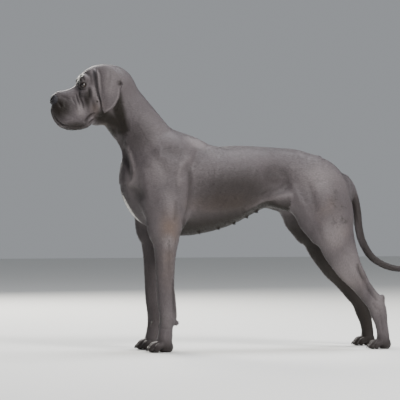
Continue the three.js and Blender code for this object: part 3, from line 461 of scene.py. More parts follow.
def surface_net(values, lines):
    """Points and quads of the surface where the values change sign."""
    inside = values < 0
    count = np.zeros(tuple(n - 1 for n in values.shape), np.int8)
    for corner in np.ndindex(2, 2, 2):
        count += inside[tuple(slice(c, c + n) for c, n in zip(corner, count.shape))]
    cells = np.argwhere((count > 0) & (count < 8))
    number = np.full(count.shape, -1, np.int32)
    number[tuple(cells.T)] = np.arange(len(cells))
    total, weight = np.zeros((len(cells), 3)), np.zeros(len(cells))
    for a, b in cell_edges():
        ia, ib = cells + a, cells + b
        va, vb = values[tuple(ia.T)], values[tuple(ib.T)]
        cross = (va < 0) != (vb < 0)
        t = np.where(cross, va / np.where(cross, va - vb, 1), 0)[:, None]
        pa, pb = corner_points(lines, ia), corner_points(lines, ib)
        total += np.where(cross[:, None], pa + (pb - pa) * t, 0)
        weight += cross
    quads = []
    for axis in range(3):
        u, v = STEPS[(axis + 1) % 3], STEPS[(axis + 2) % 3]
        low = inside[tuple(slice(0, n - s) for n, s in zip(inside.shape, STEPS[axis]))]
        high = inside[tuple(slice(s, n) for n, s in zip(inside.shape, STEPS[axis]))]
        at = np.argwhere(low != high)
        for across in ((axis + 1) % 3, (axis + 2) % 3):
            at = at[(at[:, across] > 0) & (at[:, across] < count.shape[across])]
        ring = np.stack([number[tuple((at - u - v).T)], number[tuple((at - v).T)],
                         number[tuple(at.T)], number[tuple((at - u).T)]], axis=1)
        outward = low[tuple(at.T)]
        ring[~outward] = ring[~outward][:, ::-1]
        quads.append(ring)
    return total / weight[:, None], np.concatenate(quads)


TETRAHEDRON = np.array([(1, 1, 1), (1, -1, -1), (-1, 1, -1), (-1, -1, 1)], float)


def settle(distance, points, step=0.5, most=3.0):
    """Move points onto the surface, along the slope that four samples about each give."""
    slope, value = np.zeros_like(points), np.zeros(len(points))
    for corner in TETRAHEDRON:
        here = distance(points + corner * step)
        slope += here[:, None] * corner / (4 * step)
        value += here / 4
    move = value / np.maximum((slope * slope).sum(1), 0.25)
    return points - slope * np.clip(move, -most, most)[:, None]


def vertex_normals(points, quads):
    """Outward normals at the points, from the quads about them."""
    a, b, c, d = (points[quads[:, i]] for i in range(4))
    face = np.cross(c - a, d - b)
    normals = np.zeros_like(points)
    for i in range(4):
        for axis in range(3):
            normals[:, axis] += np.bincount(quads[:, i], face[:, axis], len(points))
    return normals / np.maximum(np.linalg.norm(normals, axis=1), 1e-9)[:, None]


def add_object(name, data):
    piece = bpy.data.objects.new(name, data)
    bpy.context.scene.collection.objects.link(piece)
    return piece


def make_object(name, points, faces):
    """A smooth mesh object in the frame, from the dog's own millimetres."""
    mesh = bpy.data.meshes.new(name)
    mesh.from_pydata([tuple(p) for p in place(points)], [], [tuple(f) for f in faces])
    mesh.polygons.foreach_set("use_smooth", [True] * len(mesh.polygons))
    mesh.update()
    return add_object(name, mesh)


def paint(piece, name, values):
    """Store one number at each point, for the material to read."""
    layer = piece.data.attributes.new(name, "FLOAT", "POINT")
    layer.data.foreach_set("value", np.asarray(values, np.float32))


# Folds and ridges: lines drawn on the dog's sides, pressed in or raised, with painted shade and
# highlight
def line_distance(points, line):
    """Distance in the side view to a drawn line, and how far along it from 0 to 1."""
    line = smooth_rows(line, 6)
    lengths = np.linalg.norm(np.diff(line, axis=0), axis=1)
    before = np.concatenate([[0], np.cumsum(lengths)])
    best, place_along = np.full(len(points), np.inf), np.zeros(len(points))
    flat = points[:, [0, 2]]
    for i, length in enumerate(lengths):
        step = line[i + 1] - line[i]
        t = np.clip((flat - line[i]) @ step / (length * length), 0, 1)
        d = np.linalg.norm(flat - line[i] - t[:, None] * step, axis=1)
        closer = d < best
        best[closer] = d[closer]
        place_along[closer] = (before[i] + t[closer] * length) / before[-1]
    return best, place_along


def press_lines(points, normals, folds):
    """How far each fold moves the skin along its normal, and the painted shade it leaves, negative for
    painted highlight.
    """
    rise, shade = np.zeros(len(points)), np.zeros(len(points))
    facing, flat = normals[:, 1] * np.sign(points[:, 1]), points[:, [0, 2]]
    for line, width, height, painted_shade in folds:
        low, high = np.min(line, axis=0) - 3 * width, np.max(line, axis=0) + 3 * width
        near = (flat > low).all(1) & (flat < high).all(1) & (facing > -0.1)
        away, along = line_distance(points[near], line)
        weight = np.exp(-(away / width) ** 2) * np.sqrt(np.clip(4 * along * (1 - along), 0, 1))
        weight *= smoothstep(facing[near], -0.1, 0.25)
        rise[near] += height * weight
        shade[near] += painted_shade * weight
    return rise, shade


# Folds: a line in the side view (x, z), its width, how far it rises, and its painted shade (negative:
# painted highlight)
TRUNK_FOLDS = [
    ([(-341, 851), (-321, 805), (-310, 767), (-298, 718), (-288, 661)], 9, -7, 0.45),
    ([(-301, 784), (-288, 748), (-281, 703), (-284, 655)], 6, 6, -0.95),
    ([(-376, 880), (-352, 850), (-330, 808)], 7, 3.5, -0.1),
    ([(-350, 905), (-326, 862), (-306, 818)], 12, -4, 0.3),
    ([(-292, 634), (-270, 610), (-250, 578)], 15, -6, 0.4),
    ([(-255, 700), (-246, 650), (-238, 606), (-226, 545)], 15, 3.5, 0),
    ([(-230, 780), (-196, 730), (-170, 690), (-165, 650)], 18, -3, 0.1),
    ([(-189, 615), (-169, 559), (-157, 502)], 26, 5, -0.15),
    ([(-132, 576), (-131, 532), (-134, 492)], 7, -3.5, 0.35),
    ([(-82, 720), (-72, 661), (-73, 608), (-78, 551), (-98, 487)], 9, -6, 0.5),
    ([(-112, 660), (-104, 600), (-108, 530)], 20, 4.5, -0.1),
    ([(-180, 767), (-137, 758), (-104, 745)], 22, -5, 0.15),
    ([(-117, 624), (-117, 684), (-94, 718), (-58, 745)], 13, 4.5, -0.35),
    ([(-31, 775), (-45, 735), (-62, 696)], 13, -4, 0.15),
    ([(158, 528), (198, 554), (246, 578), (286, 589), (345, 596)], 12, 4.5, -0.8),
    ([(180, 574), (240, 598), (296, 618), (324, 650)], 19, -7, 0.32),
    ([(216, 688), (268, 688), (314, 668), (330, 622)], 26, -7, 0.35),
    ([(336, 676), (350, 615), (380, 548), (410, 488)], 14, 4, -0.1),
    ([(398, 660), (412, 600), (428, 530)], 12, -3, 0.18),
    ([(440, 640), (462, 570), (486, 500)], 32, 4.5, -0.1),
    ([(552, 693), (574, 643), (580, 570)], 9, -4, 0.3),
    ([(250, 650), (212, 585), (158, 530), (92, 490)], 13, 2.5, 0),
]
TRUNK_FOLDS += [([(x, 725), (x - 20, 640), (x - 50, 555)], 11, 1.3, 0.04) for x in range(40, 241, 40)]
LEG_FOLDS = [
    ([(594, 335), (608, 295), (630, 258)], 8, -7, 0.6),
    ([(628, 262), (648, 222), (680, 184)], 6, -5.5, 0.4),
    ([(622, 322), (642, 280), (668, 240), (694, 212)], 6, 3.5, -0.15),
    ([(540, 350), (582, 284), (620, 224), (650, 178)], 12, 3.5, -0.2),
    ([(655, 182), (672, 160), (690, 150)], 7, -3, 0.2),
    ([(686, 140), (694, 100), (700, 60)], 5, -2.5, 0.2),
    ([(545, 400), (566, 356), (580, 320)], 14, 3, 0),
    ([(430, 488), (446, 440), (470, 396)], 9, -2.5, 0.15),
    ([(-136, 280), (-133, 198), (-131, 146)], 5, -4, 0.55),
    ([(-180, 430), (-176, 350), (-174, 280)], 10, 2.5, -0.1),
    ([(-158, 420), (-155, 350), (-155, 290)], 6, -2.2, 0.15),
    ([(-178, 156), (-174, 130), (-176, 104)], 9, 2.5, -0.2),
    ([(-186, 94), (-166, 91), (-147, 92)], 3, -1.6, 0.25),
    ([(-170, 84), (-172, 62), (-178, 44)], 6, 2, -0.15),
]
HEAD_FOLDS = [
    ([(-489, 1046), (-474, 1040), (-462, 1024)], 5, -3.5, 0.6),
    ([(-482, 1058), (-469, 1054), (-457, 1039)], 4, 2.5, -0.15),
    ([(-474, 1068), (-458, 1062), (-446, 1044)], 4, -2.5, 0.3),
    ([(-453, 1072), (-445, 1046), (-441, 1016)], 6, -2, 0.15),
    ([(-484, 1001), (-472, 995), (-459, 999)], 3.5, -2.5, 0.55),
    ([(-487, 1030), (-488, 1014), (-481, 998)], 4, -2.5, 0.45),
    ([(-453, 1002), (-450, 985), (-454, 962)], 6, -5.5, 0.85),
    ([(-440, 1004), (-437, 985), (-437, 962)], 6, 3, -0.15),
    ([(-484, 990), (-480, 965), (-472, 940), (-470, 922)], 3.5, -3.2, 0.65),
    ([(-495, 980), (-491, 960), (-484, 938)], 3.2, -2.2, 0.5),
    ([(-509, 968), (-505, 952), (-493, 934)], 3.5, -2, 0.35),
    ([(-488, 980), (-485, 957), (-478, 932)], 4, 2.2, -0.2),
    ([(-500, 950), (-492, 932), (-488, 910)], 6, 1.8, -0.3),
    ([(-474, 968), (-466, 942), (-462, 915)], 6, 2, -0.25),
    ([(-560, 972), (-541, 966), (-522, 958)], 6, -2, 0.25),
    ([(-562, 950), (-556, 938), (-550, 926)], 5, -3, 0.45),
    ([(-338, 1028), (-335, 1018), (-335, 1009)], 7, -6, 1),
    ([(-326, 1030), (-324, 1018), (-328, 1006)], 4, 3, -0.5),
    ([(-562, 905), (-536, 884), (-508, 879)], 10, 3.5, 0),
    ([(-578, 912), (-571, 885), (-549, 863), (-521, 855)], 3.2, -5, 0.95),
    ([(-521, 856), (-490, 853), (-464, 860), (-452, 880)], 3.5, -3.5, 0.7),
    ([(-467, 872), (-452, 889), (-440, 900), (-425, 907)], 4, -5.5, 0.8),
    ([(-460, 866), (-446, 880), (-428, 893)], 4, 4.5, -0.35),
    ([(-447, 864), (-438, 876), (-426, 882)], 4, -4.5, 0.7),
    ([(-446, 965), (-436, 940), (-430, 910)], 8, -4, 0.4),
    ([(-418, 960), (-410, 935), (-404, 905)], 9, 3, -0.1),
    ([(-427, 1076), (-418, 1050), (-415, 1016), (-411, 980)], 3.5, 3, -0.5),
    ([(-419, 1072), (-409, 1048), (-407, 1010), (-402, 975)], 4, -1.5, 0.15),
    ([(-372, 1074), (-374, 1040), (-386, 1000)], 7, -2, 0.2),
    ([(-436, 1076), (-430, 1028), (-424, 986), (-414, 945), (-405, 912)], 7, 1.5, -0.8),
    ([(-340, 1004), (-344, 968), (-355, 944), (-368, 928), (-390, 912)], 3, 1, -0.7),
]


# Materials
def node_tree(name, colour, roughness):
    """A new material, its node tree and its shader."""
    material = bpy.data.materials.new(name)
    material.use_nodes = True
    tree = material.node_tree
    shader = tree.nodes["Principled BSDF"]
    shader.inputs["Base Color"].default_value = (*colour, 1)
    shader.inputs["Roughness"].default_value = roughness
    return material, tree, shader


def noise(tree, scale, detail=4.0, rough=0.55, stretch=(1, 1, 1)):
    """A cloud of noise in the object's own space."""
    nodes, links = tree.nodes, tree.links
    where = nodes.new("ShaderNodeTexCoord")
    mapping = nodes.new("ShaderNodeMapping")
    mapping.inputs["Scale"].default_value = stretch
    cloud = nodes.new("ShaderNodeTexNoise")
    cloud.inputs["Scale"].default_value = scale
    cloud.inputs["Detail"].default_value = detail
    cloud.inputs["Roughness"].default_value = rough
    links.new(where.outputs["Object"], mapping.inputs["Vector"])
    links.new(mapping.outputs["Vector"], cloud.inputs["Vector"])
    return cloud.outputs["Fac"]


def ramp(tree, value, low, high):
    """A value spread from 0 to 1 between two limits."""
    spread = tree.nodes.new("ShaderNodeMapRange")
    spread.inputs["From Min"].default_value = low
    spread.inputs["From Max"].default_value = high
    tree.links.new(value, spread.inputs["Value"])
    return spread.outputs["Result"]


def feed(tree, value, socket):
    """Link a value's socket, or set the number or the colour that it is."""
    if isinstance(value, bpy.types.NodeSocket):
        tree.links.new(value, socket)
    else:
        socket.default_value = (*value, 1) if isinstance(value, tuple) else value


def mix(tree, factor, below, above):
    """One colour over another."""
    blend = tree.nodes.new("ShaderNodeMix")
    blend.data_type = "RGBA"
    for number, value in ((0, factor), (6, below), (7, above)):
        feed(tree, value, blend.inputs[number])
    return blend.outputs[2]


def times(tree, a, b):
    """The product of two sockets or numbers."""
    product = tree.nodes.new("ShaderNodeMath")
    product.operation = "MULTIPLY"
    feed(tree, a, product.inputs[0])
    feed(tree, b, product.inputs[1])
    return product.outputs[0]


def painted(tree, name):
    """A number that paint() stored at each point."""
    attribute = tree.nodes.new("ShaderNodeAttribute")
    attribute.attribute_name = name
    return attribute.outputs["Fac"]


def add_bump(tree, shader, height, distance, strength):
    bump = tree.nodes.new("ShaderNodeBump")
    bump.inputs["Distance"].default_value = distance
    bump.inputs["Strength"].default_value = strength
    tree.links.new(height, bump.inputs["Height"])
    tree.links.new(bump.outputs["Normal"], shader.inputs["Normal"])


COAT_GREY = (0.082, 0.070, 0.074)
COAT_PALE_AND_HIGHLIGHT = (0.195, 0.170, 0.172)
COAT_DARK_AND_SHADE = (0.009, 0.0062, 0.0038)
COAT_WARM_AND_REFLECTED = (0.150, 0.108, 0.088)
CHEST_WHITE = (0.62, 0.60, 0.57)


def coat_material():
    material, tree, shader = node_tree("short_blue_coat", COAT_GREY, 0.50)
    clouds = ramp(tree, noise(tree, 6.0, 3.0), 0.35, 0.68)
    specks = ramp(tree, noise(tree, 34.0, 4.0, 0.65), 0.52, 0.66)
    along_body = noise(tree, 420.0, 3.0, stretch=(0.25, 1, 0.8))
    along_leg = noise(tree, 420.0, 3.0, stretch=(1, 1, 0.25))
    hair = tree.nodes.new("ShaderNodeMix")
    tree.links.new(painted(tree, "leg"), hair.inputs[0])
    tree.links.new(along_body, hair.inputs[2])
    tree.links.new(along_leg, hair.inputs[3])
    strands = ramp(tree, hair.outputs[0], 0.32, 0.68)
    colour = mix(tree, times(tree, clouds, 0.26), COAT_GREY, COAT_PALE_AND_HIGHLIGHT)
    # Brown tinge, with painted warm reflected light in the shaded lower parts
    colour = mix(tree, times(tree, painted(tree, "warm"), clouds), colour, COAT_WARM_AND_REFLECTED)
    # Paler coat: painted highlight from ridges and lit patches, and a pale callus
    colour = mix(tree, painted(tree, "pale"), colour, COAT_PALE_AND_HIGHLIGHT)
    colour = mix(tree, times(tree, strands, 0.30), colour, COAT_DARK_AND_SHADE)
    colour = mix(tree, times(tree, painted(tree, "mottle"), specks), colour, COAT_DARK_AND_SHADE)
    # Dark marks and painted shade
    colour = mix(tree, painted(tree, "dark"), colour, COAT_DARK_AND_SHADE)
    colour = mix(tree, painted(tree, "white"), colour, CHEST_WHITE)
    tree.links.new(colour, shader.inputs["Base Color"])
    shader.inputs["Sheen Weight"].default_value = 0.05
    shader.inputs["Sheen Roughness"].default_value = 0.35
    shader.inputs["Sheen Tint"].default_value = (0.86, 0.82, 0.90, 1)
    shader.inputs["Specular IOR Level"].default_value = 0.20
    add_bump(tree, shader, strands, 0.0009, 0.6)
    return material


def leather_material():
    material, tree, shader = node_tree("nose_leather", (0.016, 0.014, 0.017), 0.6)
    cells = tree.nodes.new("ShaderNodeTexVoronoi")
    cells.inputs["Scale"].default_value = 650.0
    where = tree.nodes.new("ShaderNodeTexCoord")
    tree.links.new(where.outputs["Object"], cells.inputs["Vector"])
    colour = mix(tree, ramp(tree, cells.outputs["Distance"], 0.0, 0.6), (0.034, 0.031, 0.038),
                 (0.012, 0.011, 0.013))
    tree.links.new(colour, shader.inputs["Base Color"])
    shader.inputs["Specular IOR Level"].default_value = 0.22
    add_bump(tree, shader, cells.outputs["Distance"], 0.0006, 0.7)
    return material


def horn_material():
    material, tree, shader = node_tree("claw_horn", (0.022, 0.019, 0.018), 0.38)
    streaks = ramp(tree, noise(tree, 300.0, 2.0, stretch=(0.2, 1, 1)), 0.3, 0.7)
    tree.links.new(mix(tree, streaks, (0.016, 0.014, 0.014), (0.045, 0.038, 0.034)),
                   shader.inputs["Base Color"])
    add_bump(tree, shader, streaks, 0.0003, 0.5)
    return material


def eye_material():
    material, tree, shader = node_tree("wet_eye", (0.03, 0.016, 0.01), 0.12)
    fibres = ramp(tree, noise(tree, 900.0, 2.0), 0.3, 0.7)
    iris = mix(tree, fibres, (0.030, 0.014, 0.008), (0.010, 0.005, 0.004))
    colour = mix(tree, painted(tree, "iris"), (0.020, 0.014, 0.013), iris)
    colour = mix(tree, painted(tree, "pupil"), colour, (0.002, 0.002, 0.002))
    tree.links.new(colour, shader.inputs["Base Color"])
    shader.inputs["Coat Weight"].default_value = 0.5
    shader.inputs["Coat Roughness"].default_value = 0.02
    return material


def give(piece, material):
    """The piece's material and slot; every piece rides the one rigid body."""
    piece.data.materials.append(material)
    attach(piece, "root")


# Pieces
CLAW_NODES = [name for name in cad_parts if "claw" in name]
FLESH_NODES = [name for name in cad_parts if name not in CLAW_NODES
               and not name.endswith("_eye") and name != "nose"]

# Markings and painted light: centre and half sizes of a soft patch, on both sides, and its strength
DARK_AND_SHADE_PATCHES = [
    # Muzzle, lips and chin: a darker muzzle deepened with painted shade, and painted shade under the
    # chin
    ((-552, 24, 925), (62, 80, 66), 0.92), ((-546, 30, 935), (68, 90, 62), 0.6),
    ((-470, 20, 960), (60, 60, 40), 0.35), ((-496, 30, 856), (70, 60, 26), 0.8),
    # Dark round the eye, with painted shade over the brow and in the crease below the eye
    ((-468, 46, 1013), (24, 26, 21), 0.85), ((-484, 22, 1036), (28, 50, 34), 0.88),
    ((-450, 56, 980), (13, 34, 34), 0.65), ((-454, 60, 962), (24, 50, 52), 0.75),
    # Mole on the cheek, and painted shade in the hollow at the ear's back edge
    ((-419, 66, 949), (6, 16, 6), 1.0), ((-333, 62, 1018), (13, 30, 12), 0.9),
    # Painted shade on the throat and on the neck below the ear
    ((-334, 60, 884), (40, 90, 60), 0.5), ((-312, 50, 850), (40, 80, 66), 0.6),
    ((-356, 30, 850), (58, 70, 60), 0.85), ((-262, 60, 820), (90, 90, 90), 0.35),
    # Painted shade on the flank and ribs
    ((262, 110, 664), (84, 70, 56), 0.5), ((120, 130, 590), (270, 110, 160), 0.7),
]
PALE_AND_LIT_PATCHES = [
    # Painted highlight on the flew, temple and ear
    ((-478, 50, 916), (30, 60, 40), 0.75), ((-428, 56, 1000), (20, 40, 60), 0.5),
    ((-376, 90, 1010), (44, 40, 66), 0.3),
    # A pale callus below the elbow, painted highlight on the upper arm, and a paler pastern
    ((-158, 125, 420), (36, 40, 46), 0.8), ((-150, 120, 560), (50, 60, 80), 0.45),
    ((-158, 120, 130), (40, 60, 70), 0.4),
    # Painted highlight on the shoulder, front of the chest and withers
    ((-200, 100, 690), (80, 80, 90), 0.5), ((-272, 60, 650), (50, 80, 80), 0.9),
    ((-40, 40, 790), (120, 60, 50), 0.8),
    # Painted highlight on the croup, thigh, lower leg and hock
    ((440, 120, 660), (130, 90, 110), 0.55), ((500, 120, 450), (80, 70, 110), 0.85),
    ((560, 120, 310), (90, 60, 140), 0.9), ((680, 120, 180), (50, 60, 70), 0.7),
]
# Brown tinge of the coat, with painted warm reflected light in the shaded lower parts
WARM_TINGE_AND_REFLECTED_PATCHES = [
    ((-404, 60, 915), (60, 80, 50), 0.9), ((-368, 30, 868), (46, 60, 40), 0.9),
    ((100, 130, 560), (240, 80, 60), 0.8), ((-150, 130, 480), (60, 60, 110), 0.8),
    ((-160, 120, 330), (50, 60, 160), 0.5), ((470, 130, 530), (90, 60, 90), 0.7),
    ((520, 130, 440), (70, 60, 90), 0.95), ((580, 120, 270), (90, 60, 120), 0.5),
]
MOTTLE_PATCHES = [
    ((520, 130, 540), (60, 60, 130), 0.55), ((-158, 125, 420), (40, 40, 50), 0.35),
    ((-540, 30, 905), (44, 60, 44), 0.5),
]
# Shade on the neck below the ear: a line in the side view, and where it is full and where none
NECK_SHADES = [
    ([(-347, 976), (-336, 925), (-328, 885), (-318, 846)], 12, 34),
    ([(-396, 892), (-366, 882), (-334, 868)], 8, 44),
]
LEAF_LOW, LEAF_HIGH, LEAF_HALF_WIDTH = 492, 612, 21
TEAT_PLACES = (-14, 62, 124, 176, 214)
TEAT_SIDE, TEAT_RISE, TEAT_RADIUS = 36, 8.0, 5.5


def patch(points, centre, size, soft):
    """1 inside an ellipsoid, fading to 0 at its rim; the sides are alike."""
    sided = points.copy()
    sided[:, 1] = np.abs(sided[:, 1])
    reach = np.sqrt((((sided - centre) / size) ** 2).sum(1))
    return 1 - smoothstep(reach, 1 - soft, 1)


def strongest(points, patches, soft):
    """The strongest of several patches at each point."""
    return np.max([much * patch(points, centre, size, soft) for centre, size, much in patches], axis=0)


def dark_and_painted_shade(points, normals, shade):
    """Dark marks, tail, soles and feet, and painted shade in folds and patches, on the neck,
    underside, belly and inner legs.
    """
    x, z, side = points[:, 0], points[:, 2], np.abs(points[:, 1])
    outward = normals[:, 1] * np.sign(points[:, 1])
    down = smoothstep(-normals[:, 2], 0.15, 0.75)
    trunk = smoothstep(z, 400, 440) * (1 - smoothstep(z, 780, 830)) * (x < 330)
    belly = (1 - smoothstep(z - 0.20 * np.clip(x + 60, 0, 400), 455, 540)) * trunk * (x > -100)
    inner_leg = (1 - smoothstep(z, 440, 560)) * smoothstep(-outward, 0.0, 0.5)
    tail = smoothstep(x - 0.25 * (600 - z), 596, 612) * (side < 40)
    layers = [
        # Painted shade of the folds
        np.clip(shade, 0, 1),
        strongest(points, DARK_AND_SHADE_PATCHES, 0.75),
        # Painted shade under the chest and trunk
        0.95 * down * trunk * smoothstep(x, -235, -190),
        # Painted shade on the belly
        0.97 * belly,
        # Painted shade on the inner sides of the legs, deepest on the hind legs
        (0.35 + 0.55 * (x > 300)) * inner_leg,
        0.68 * tail * (1 - smoothstep(z, 560, 640)),
        (1 - smoothstep(z, 2, 10)) * smoothstep(-normals[:, 2], 0.2, 0.7),
        0.70 * (1 - smoothstep(z, 10, 75)),
    ]
    # Painted shade on the neck below the ear, kept off the ear
    off_ear = 1 - smoothstep(side, 66, 72)
    for line, full, none in NECK_SHADES:
        away = line_distance(points, line)[0]
        layers.append(0.96 * (1 - smoothstep(away, full, none)) * off_ear)
    return np.max(layers, axis=0)


def chest_leaf(points):
    """A narrow white leaf on the keel of the chest, widest at its middle."""
    leaf = np.clip((points[:, 2] - LEAF_LOW) / (LEAF_HIGH - LEAF_LOW), 0, 1)
    half = LEAF_HALF_WIDTH * np.sin(math.pi * leaf) ** 0.8
    within = 1 - smoothstep(np.abs(points[:, 1]) - half, -4, 2)
    return within * (points[:, 0] < -190) * (leaf > 0) * (leaf < 1)


def coat_colours_and_painted_light(points, normals, shade):
    """The coat's colours with its painted shade and highlight, each as a number from 0 to 1 at each
    point.
    """
    return {
        # Dark: dark marks and painted shade
        "dark": dark_and_painted_shade(points, normals, shade),
        # Pale: painted highlight from the ridges and lit patches, and a pale callus
        "pale": np.maximum(np.clip(-shade, 0, 1), strongest(points, PALE_AND_LIT_PATCHES, 0.9)),
        "warm": strongest(points, WARM_TINGE_AND_REFLECTED_PATCHES, 0.9),
        "mottle": strongest(points, MOTTLE_PATCHES, 0.6),
        "white": chest_leaf(points),
        "leg": 1 - smoothstep(points[:, 2], 430, 560),
    }


def teats(points, normals):
    """Small teats in two rows below the belly."""
    rise = np.zeros(len(points))
    for x in TEAT_PLACES:
        away = np.hypot(points[:, 0] - x, np.abs(points[:, 1]) - TEAT_SIDE)
        rise += TEAT_RISE * np.exp(-(away / TEAT_RADIUS) ** 2) * (normals[:, 2] < -0.3)
    return rise


def make_skin():
    """The skin, and what its tufts need of it: points, quads, normals, and the coat's colours with
    painted shade and highlight.
    """
    points, quads = surface_net(sample_volume(skin_distance, GRID), GRID)
    points = settle(skin_distance, settle(skin_distance, points))
    normals = vertex_normals(points, quads)
    rise, shade = press_lines(points, normals, TRUNK_FOLDS + LEG_FOLDS + HEAD_FOLDS)
    rise += teats(points, normals)
    points = points + normals * rise[:, None]
    points[:, 2] = np.maximum(points[:, 2], GROUND_GAP)
    normals = vertex_normals(points, quads)
    colours_and_painted_light = coat_colours_and_painted_light(points, normals, shade)
    skin = make_object("coat_skin", points, quads)
    for name, values in colours_and_painted_light.items():
        paint(skin, name, values)
    give(skin, COAT)
    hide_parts(*FLESH_NODES)
    return points, quads, normals, colours_and_painted_light


# Tufts of short hair
def hair_direction(points):
    """Which way the hair lies: back along the head and trunk, down the neck, legs and tail."""
    x, y, z = points.T
    head = smoothstep(z, 830, 900) * smoothstep(-x, 330, 380)
    neck = smoothstep(z, 700, 760) * smoothstep(-x, 130, 220) * (1 - head)
    leg = (1 - smoothstep(z, 430, 600)) * (1 - neck)
    hind = smoothstep(x, 300, 420) * (1 - smoothstep(z, 560, 740)) * (1 - leg)
    tail = smoothstep(x, 600, 620) * (np.abs(y) < 40)
    flow = np.zeros_like(points)
    for weight, way in ((head, (1, 0, 0.1)), (neck, (0.55, 0, -0.85)), (leg, (0.15, 0, -1)),
                        (hind, (0.5, 0, -0.8)), (np.full_like(x, 0.15), (1, 0, -0.25))):
        flow += weight[:, None] * np.array(way)
    back = smoothstep(x, 640, 760)
    down_tail = np.stack([back, np.zeros_like(x), back * 0.7 - 1], axis=1)
    return flow * (1 - tail[:, None]) + down_tail * tail[:, None]


# The middle of the head, neck and trunk in the side view
MIDDLE_X = (-600, -420, -330, -230, -120, 560)
MIDDLE_Z = (940, 960, 930, 800, 660, 640)


def turn_of(across, up):
    """The angle about a limb's middle, as a share of a full turn."""
    return np.arctan2(across, up) / (2 * math.pi) + 0.5


def unwrap(points):
    """A place from 0 to 1 on a flat plan of the skin: a strip for each limb, turned about it."""
    x, y, z = points.T
    middle = np.interp(x, MIDDLE_X, MIDDLE_Z)
    u, v = 0.02 + 0.62 * (x + 600) / 1240, 0.02 + 0.44 * turn_of(y, z - middle)
    for hind in (0, 1):
        for right in (0, 1):
            on_leg = (z < 430 + 60 * hind) & ((x > 320) == bool(hind)) & (x < 760)
            on_leg &= (y > 0) == bool(right)
            axis_x = np.interp(z, (0, 200, 400), (705, 655, 520)) if hind else -160
            across = 0.2 * turn_of(np.abs(y) - 100, x - axis_x)
            u = np.where(on_leg, 0.02 + 0.24 * (2 * hind + right) + across, u)
            v = np.where(on_leg, 0.52 + 0.46 * z / 500, v)
    tail = (x > 600) & (np.abs(y) < 40)
    middle = np.interp(x, (600, 640, 700, 930), (600, 480, 350, 318))
    u = np.where(tail, 0.70 + 0.26 * (x - 600) / 330, u)
    v = np.where(tail, 0.04 + 0.4 * turn_of(y, z - middle), v)
    return u, v


# A tuft is a blade of five points: a quad from its root to its middle, and a triangle to its tip
TUFT_PATCH = 0.003
TUFT_PLAN = np.array([(-0.5, 0), (0.5, 0), (0.4, 0.5), (-0.4, 0.5), (0, 1)]) * TUFT_PATCH
TUFT_HALF_WIDTH = 0.13
MIDDLE_LIFT = 0.10
TIP_LIFT = 0.14
ROOT_SINK = 0.4
SCATTER = 0.10


def make_tufts(name, skin, wanted, length, count, seed):
    """Blades of hair rooted on the skin where a wanted weight is above zero."""
    points, quads, normals, colours_and_painted_light = skin
    random = np.random.default_rng(seed)
    corners = points[quads]
    spread = np.cross(corners[:, 2] - corners[:, 0], corners[:, 3] - corners[:, 1])
    chance = np.linalg.norm(spread, axis=1) * wanted[quads[:, 0]]
    pick = random.choice(len(quads), count, p=chance / chance.sum())
    a, b = random.random((2, count, 1))
    c = corners[pick]
    root = (c[:, 0] * (1 - a) + c[:, 1] * a) * (1 - b) + (c[:, 3] * (1 - a) + c[:, 2] * a) * b
    vertex = quads[pick, 0]
    up = normals[vertex]
    along = hair_direction(root) + random.normal(0, SCATTER, (count, 3))
    along -= up * (along * up).sum(1)[:, None]
    along /= np.maximum(np.linalg.norm(along, axis=1), 1e-6)[:, None]
    across = np.cross(up, along)
    long = (length[vertex] * random.uniform(0.7, 1.25, count))[:, None]
    wide = long * TUFT_HALF_WIDTH
    middle = root + along * long * 0.5 + up * long * MIDDLE_LIFT
    tip = root + along * long + up * long * TIP_LIFT
    sunk = up * ROOT_SINK
    blade = np.stack([root - across * wide - sunk, root + across * wide - sunk,
                      middle + across * wide * 0.8, middle - across * wide * 0.8, tip], axis=1)
    blade[:, :, 2] = np.maximum(blade[:, :, 2], GROUND_GAP + 0.1)
    first = np.arange(count) * 5
    faces = [(i, i + 1, i + 2, i + 3) for i in first] + [(i + 3, i + 2, i + 4) for i in first]
    tufts = make_object(name, blade.reshape(-1, 3), faces)
    for key, values in colours_and_painted_light.items():
        paint(tufts, key, np.repeat(values[vertex], 5))
    u, v = unwrap(root)
    spots = (np.stack([u, v], axis=1)[:, None, :] + TUFT_PLAN).reshape(-1, 2)
    layer = tufts.data.uv_layers.new(name="OFBake")
    loops = np.empty(len(tufts.data.loops), np.int32)
    tufts.data.loops.foreach_get("vertex_index", loops)
    layer.data.foreach_set("uv", spots[loops].astype(np.float32).ravel())
    give(tufts, COAT)


def make_all_tufts(skin):
    """Tufts thickest and longest on the ridge of the neck and where the outline turns away."""
    points, _, normals, _ = skin
    x, y, z = points.T
    face = smoothstep(z, 830, 880) * smoothstep(-x, 330, 390)
    foot = 1 - smoothstep(z, 40, 150)
    edge = 1 - smoothstep(np.abs(normals[:, 1]), 0.3, 0.7)
    ridge = patch(points, (-286, 60, 715), (22, 60, 80), 0.8)
    length = 6.5 + 2.5 * edge + 3.0 * ridge
    length = length * (1 - 0.65 * face) * (1 - 0.5 * foot)
    eye = patch(points, (-467, 45, 1012), (22, 30, 20), 0.2)
    trunk = smoothstep(z, 440, 520) * (1 - face)
    wanted = (0.5 + 0.8 * edge + 1.5 * ridge) * (1 - np.minimum(1, 4 * eye))
    make_tufts("trunk_tufts", skin, wanted * trunk, length, count=52000, seed=11)
    make_tufts("limb_tufts", skin, wanted * (1 - trunk) + 0.001, length, count=46000, seed=12)


NOSE_LINES = (grid_lines([(-600, -540, 1.4)]), grid_lines([(-34, 34, 1.4)]),
              grid_lines([(922, 998, 1.4)]))
NOSTRILS = ball((-584, 10, 957, 9, 4.5, 5.5, 0), 1, True)
GROOVE_DEPTH, GROOVE_HALF_WIDTH = 2.0, 1.6


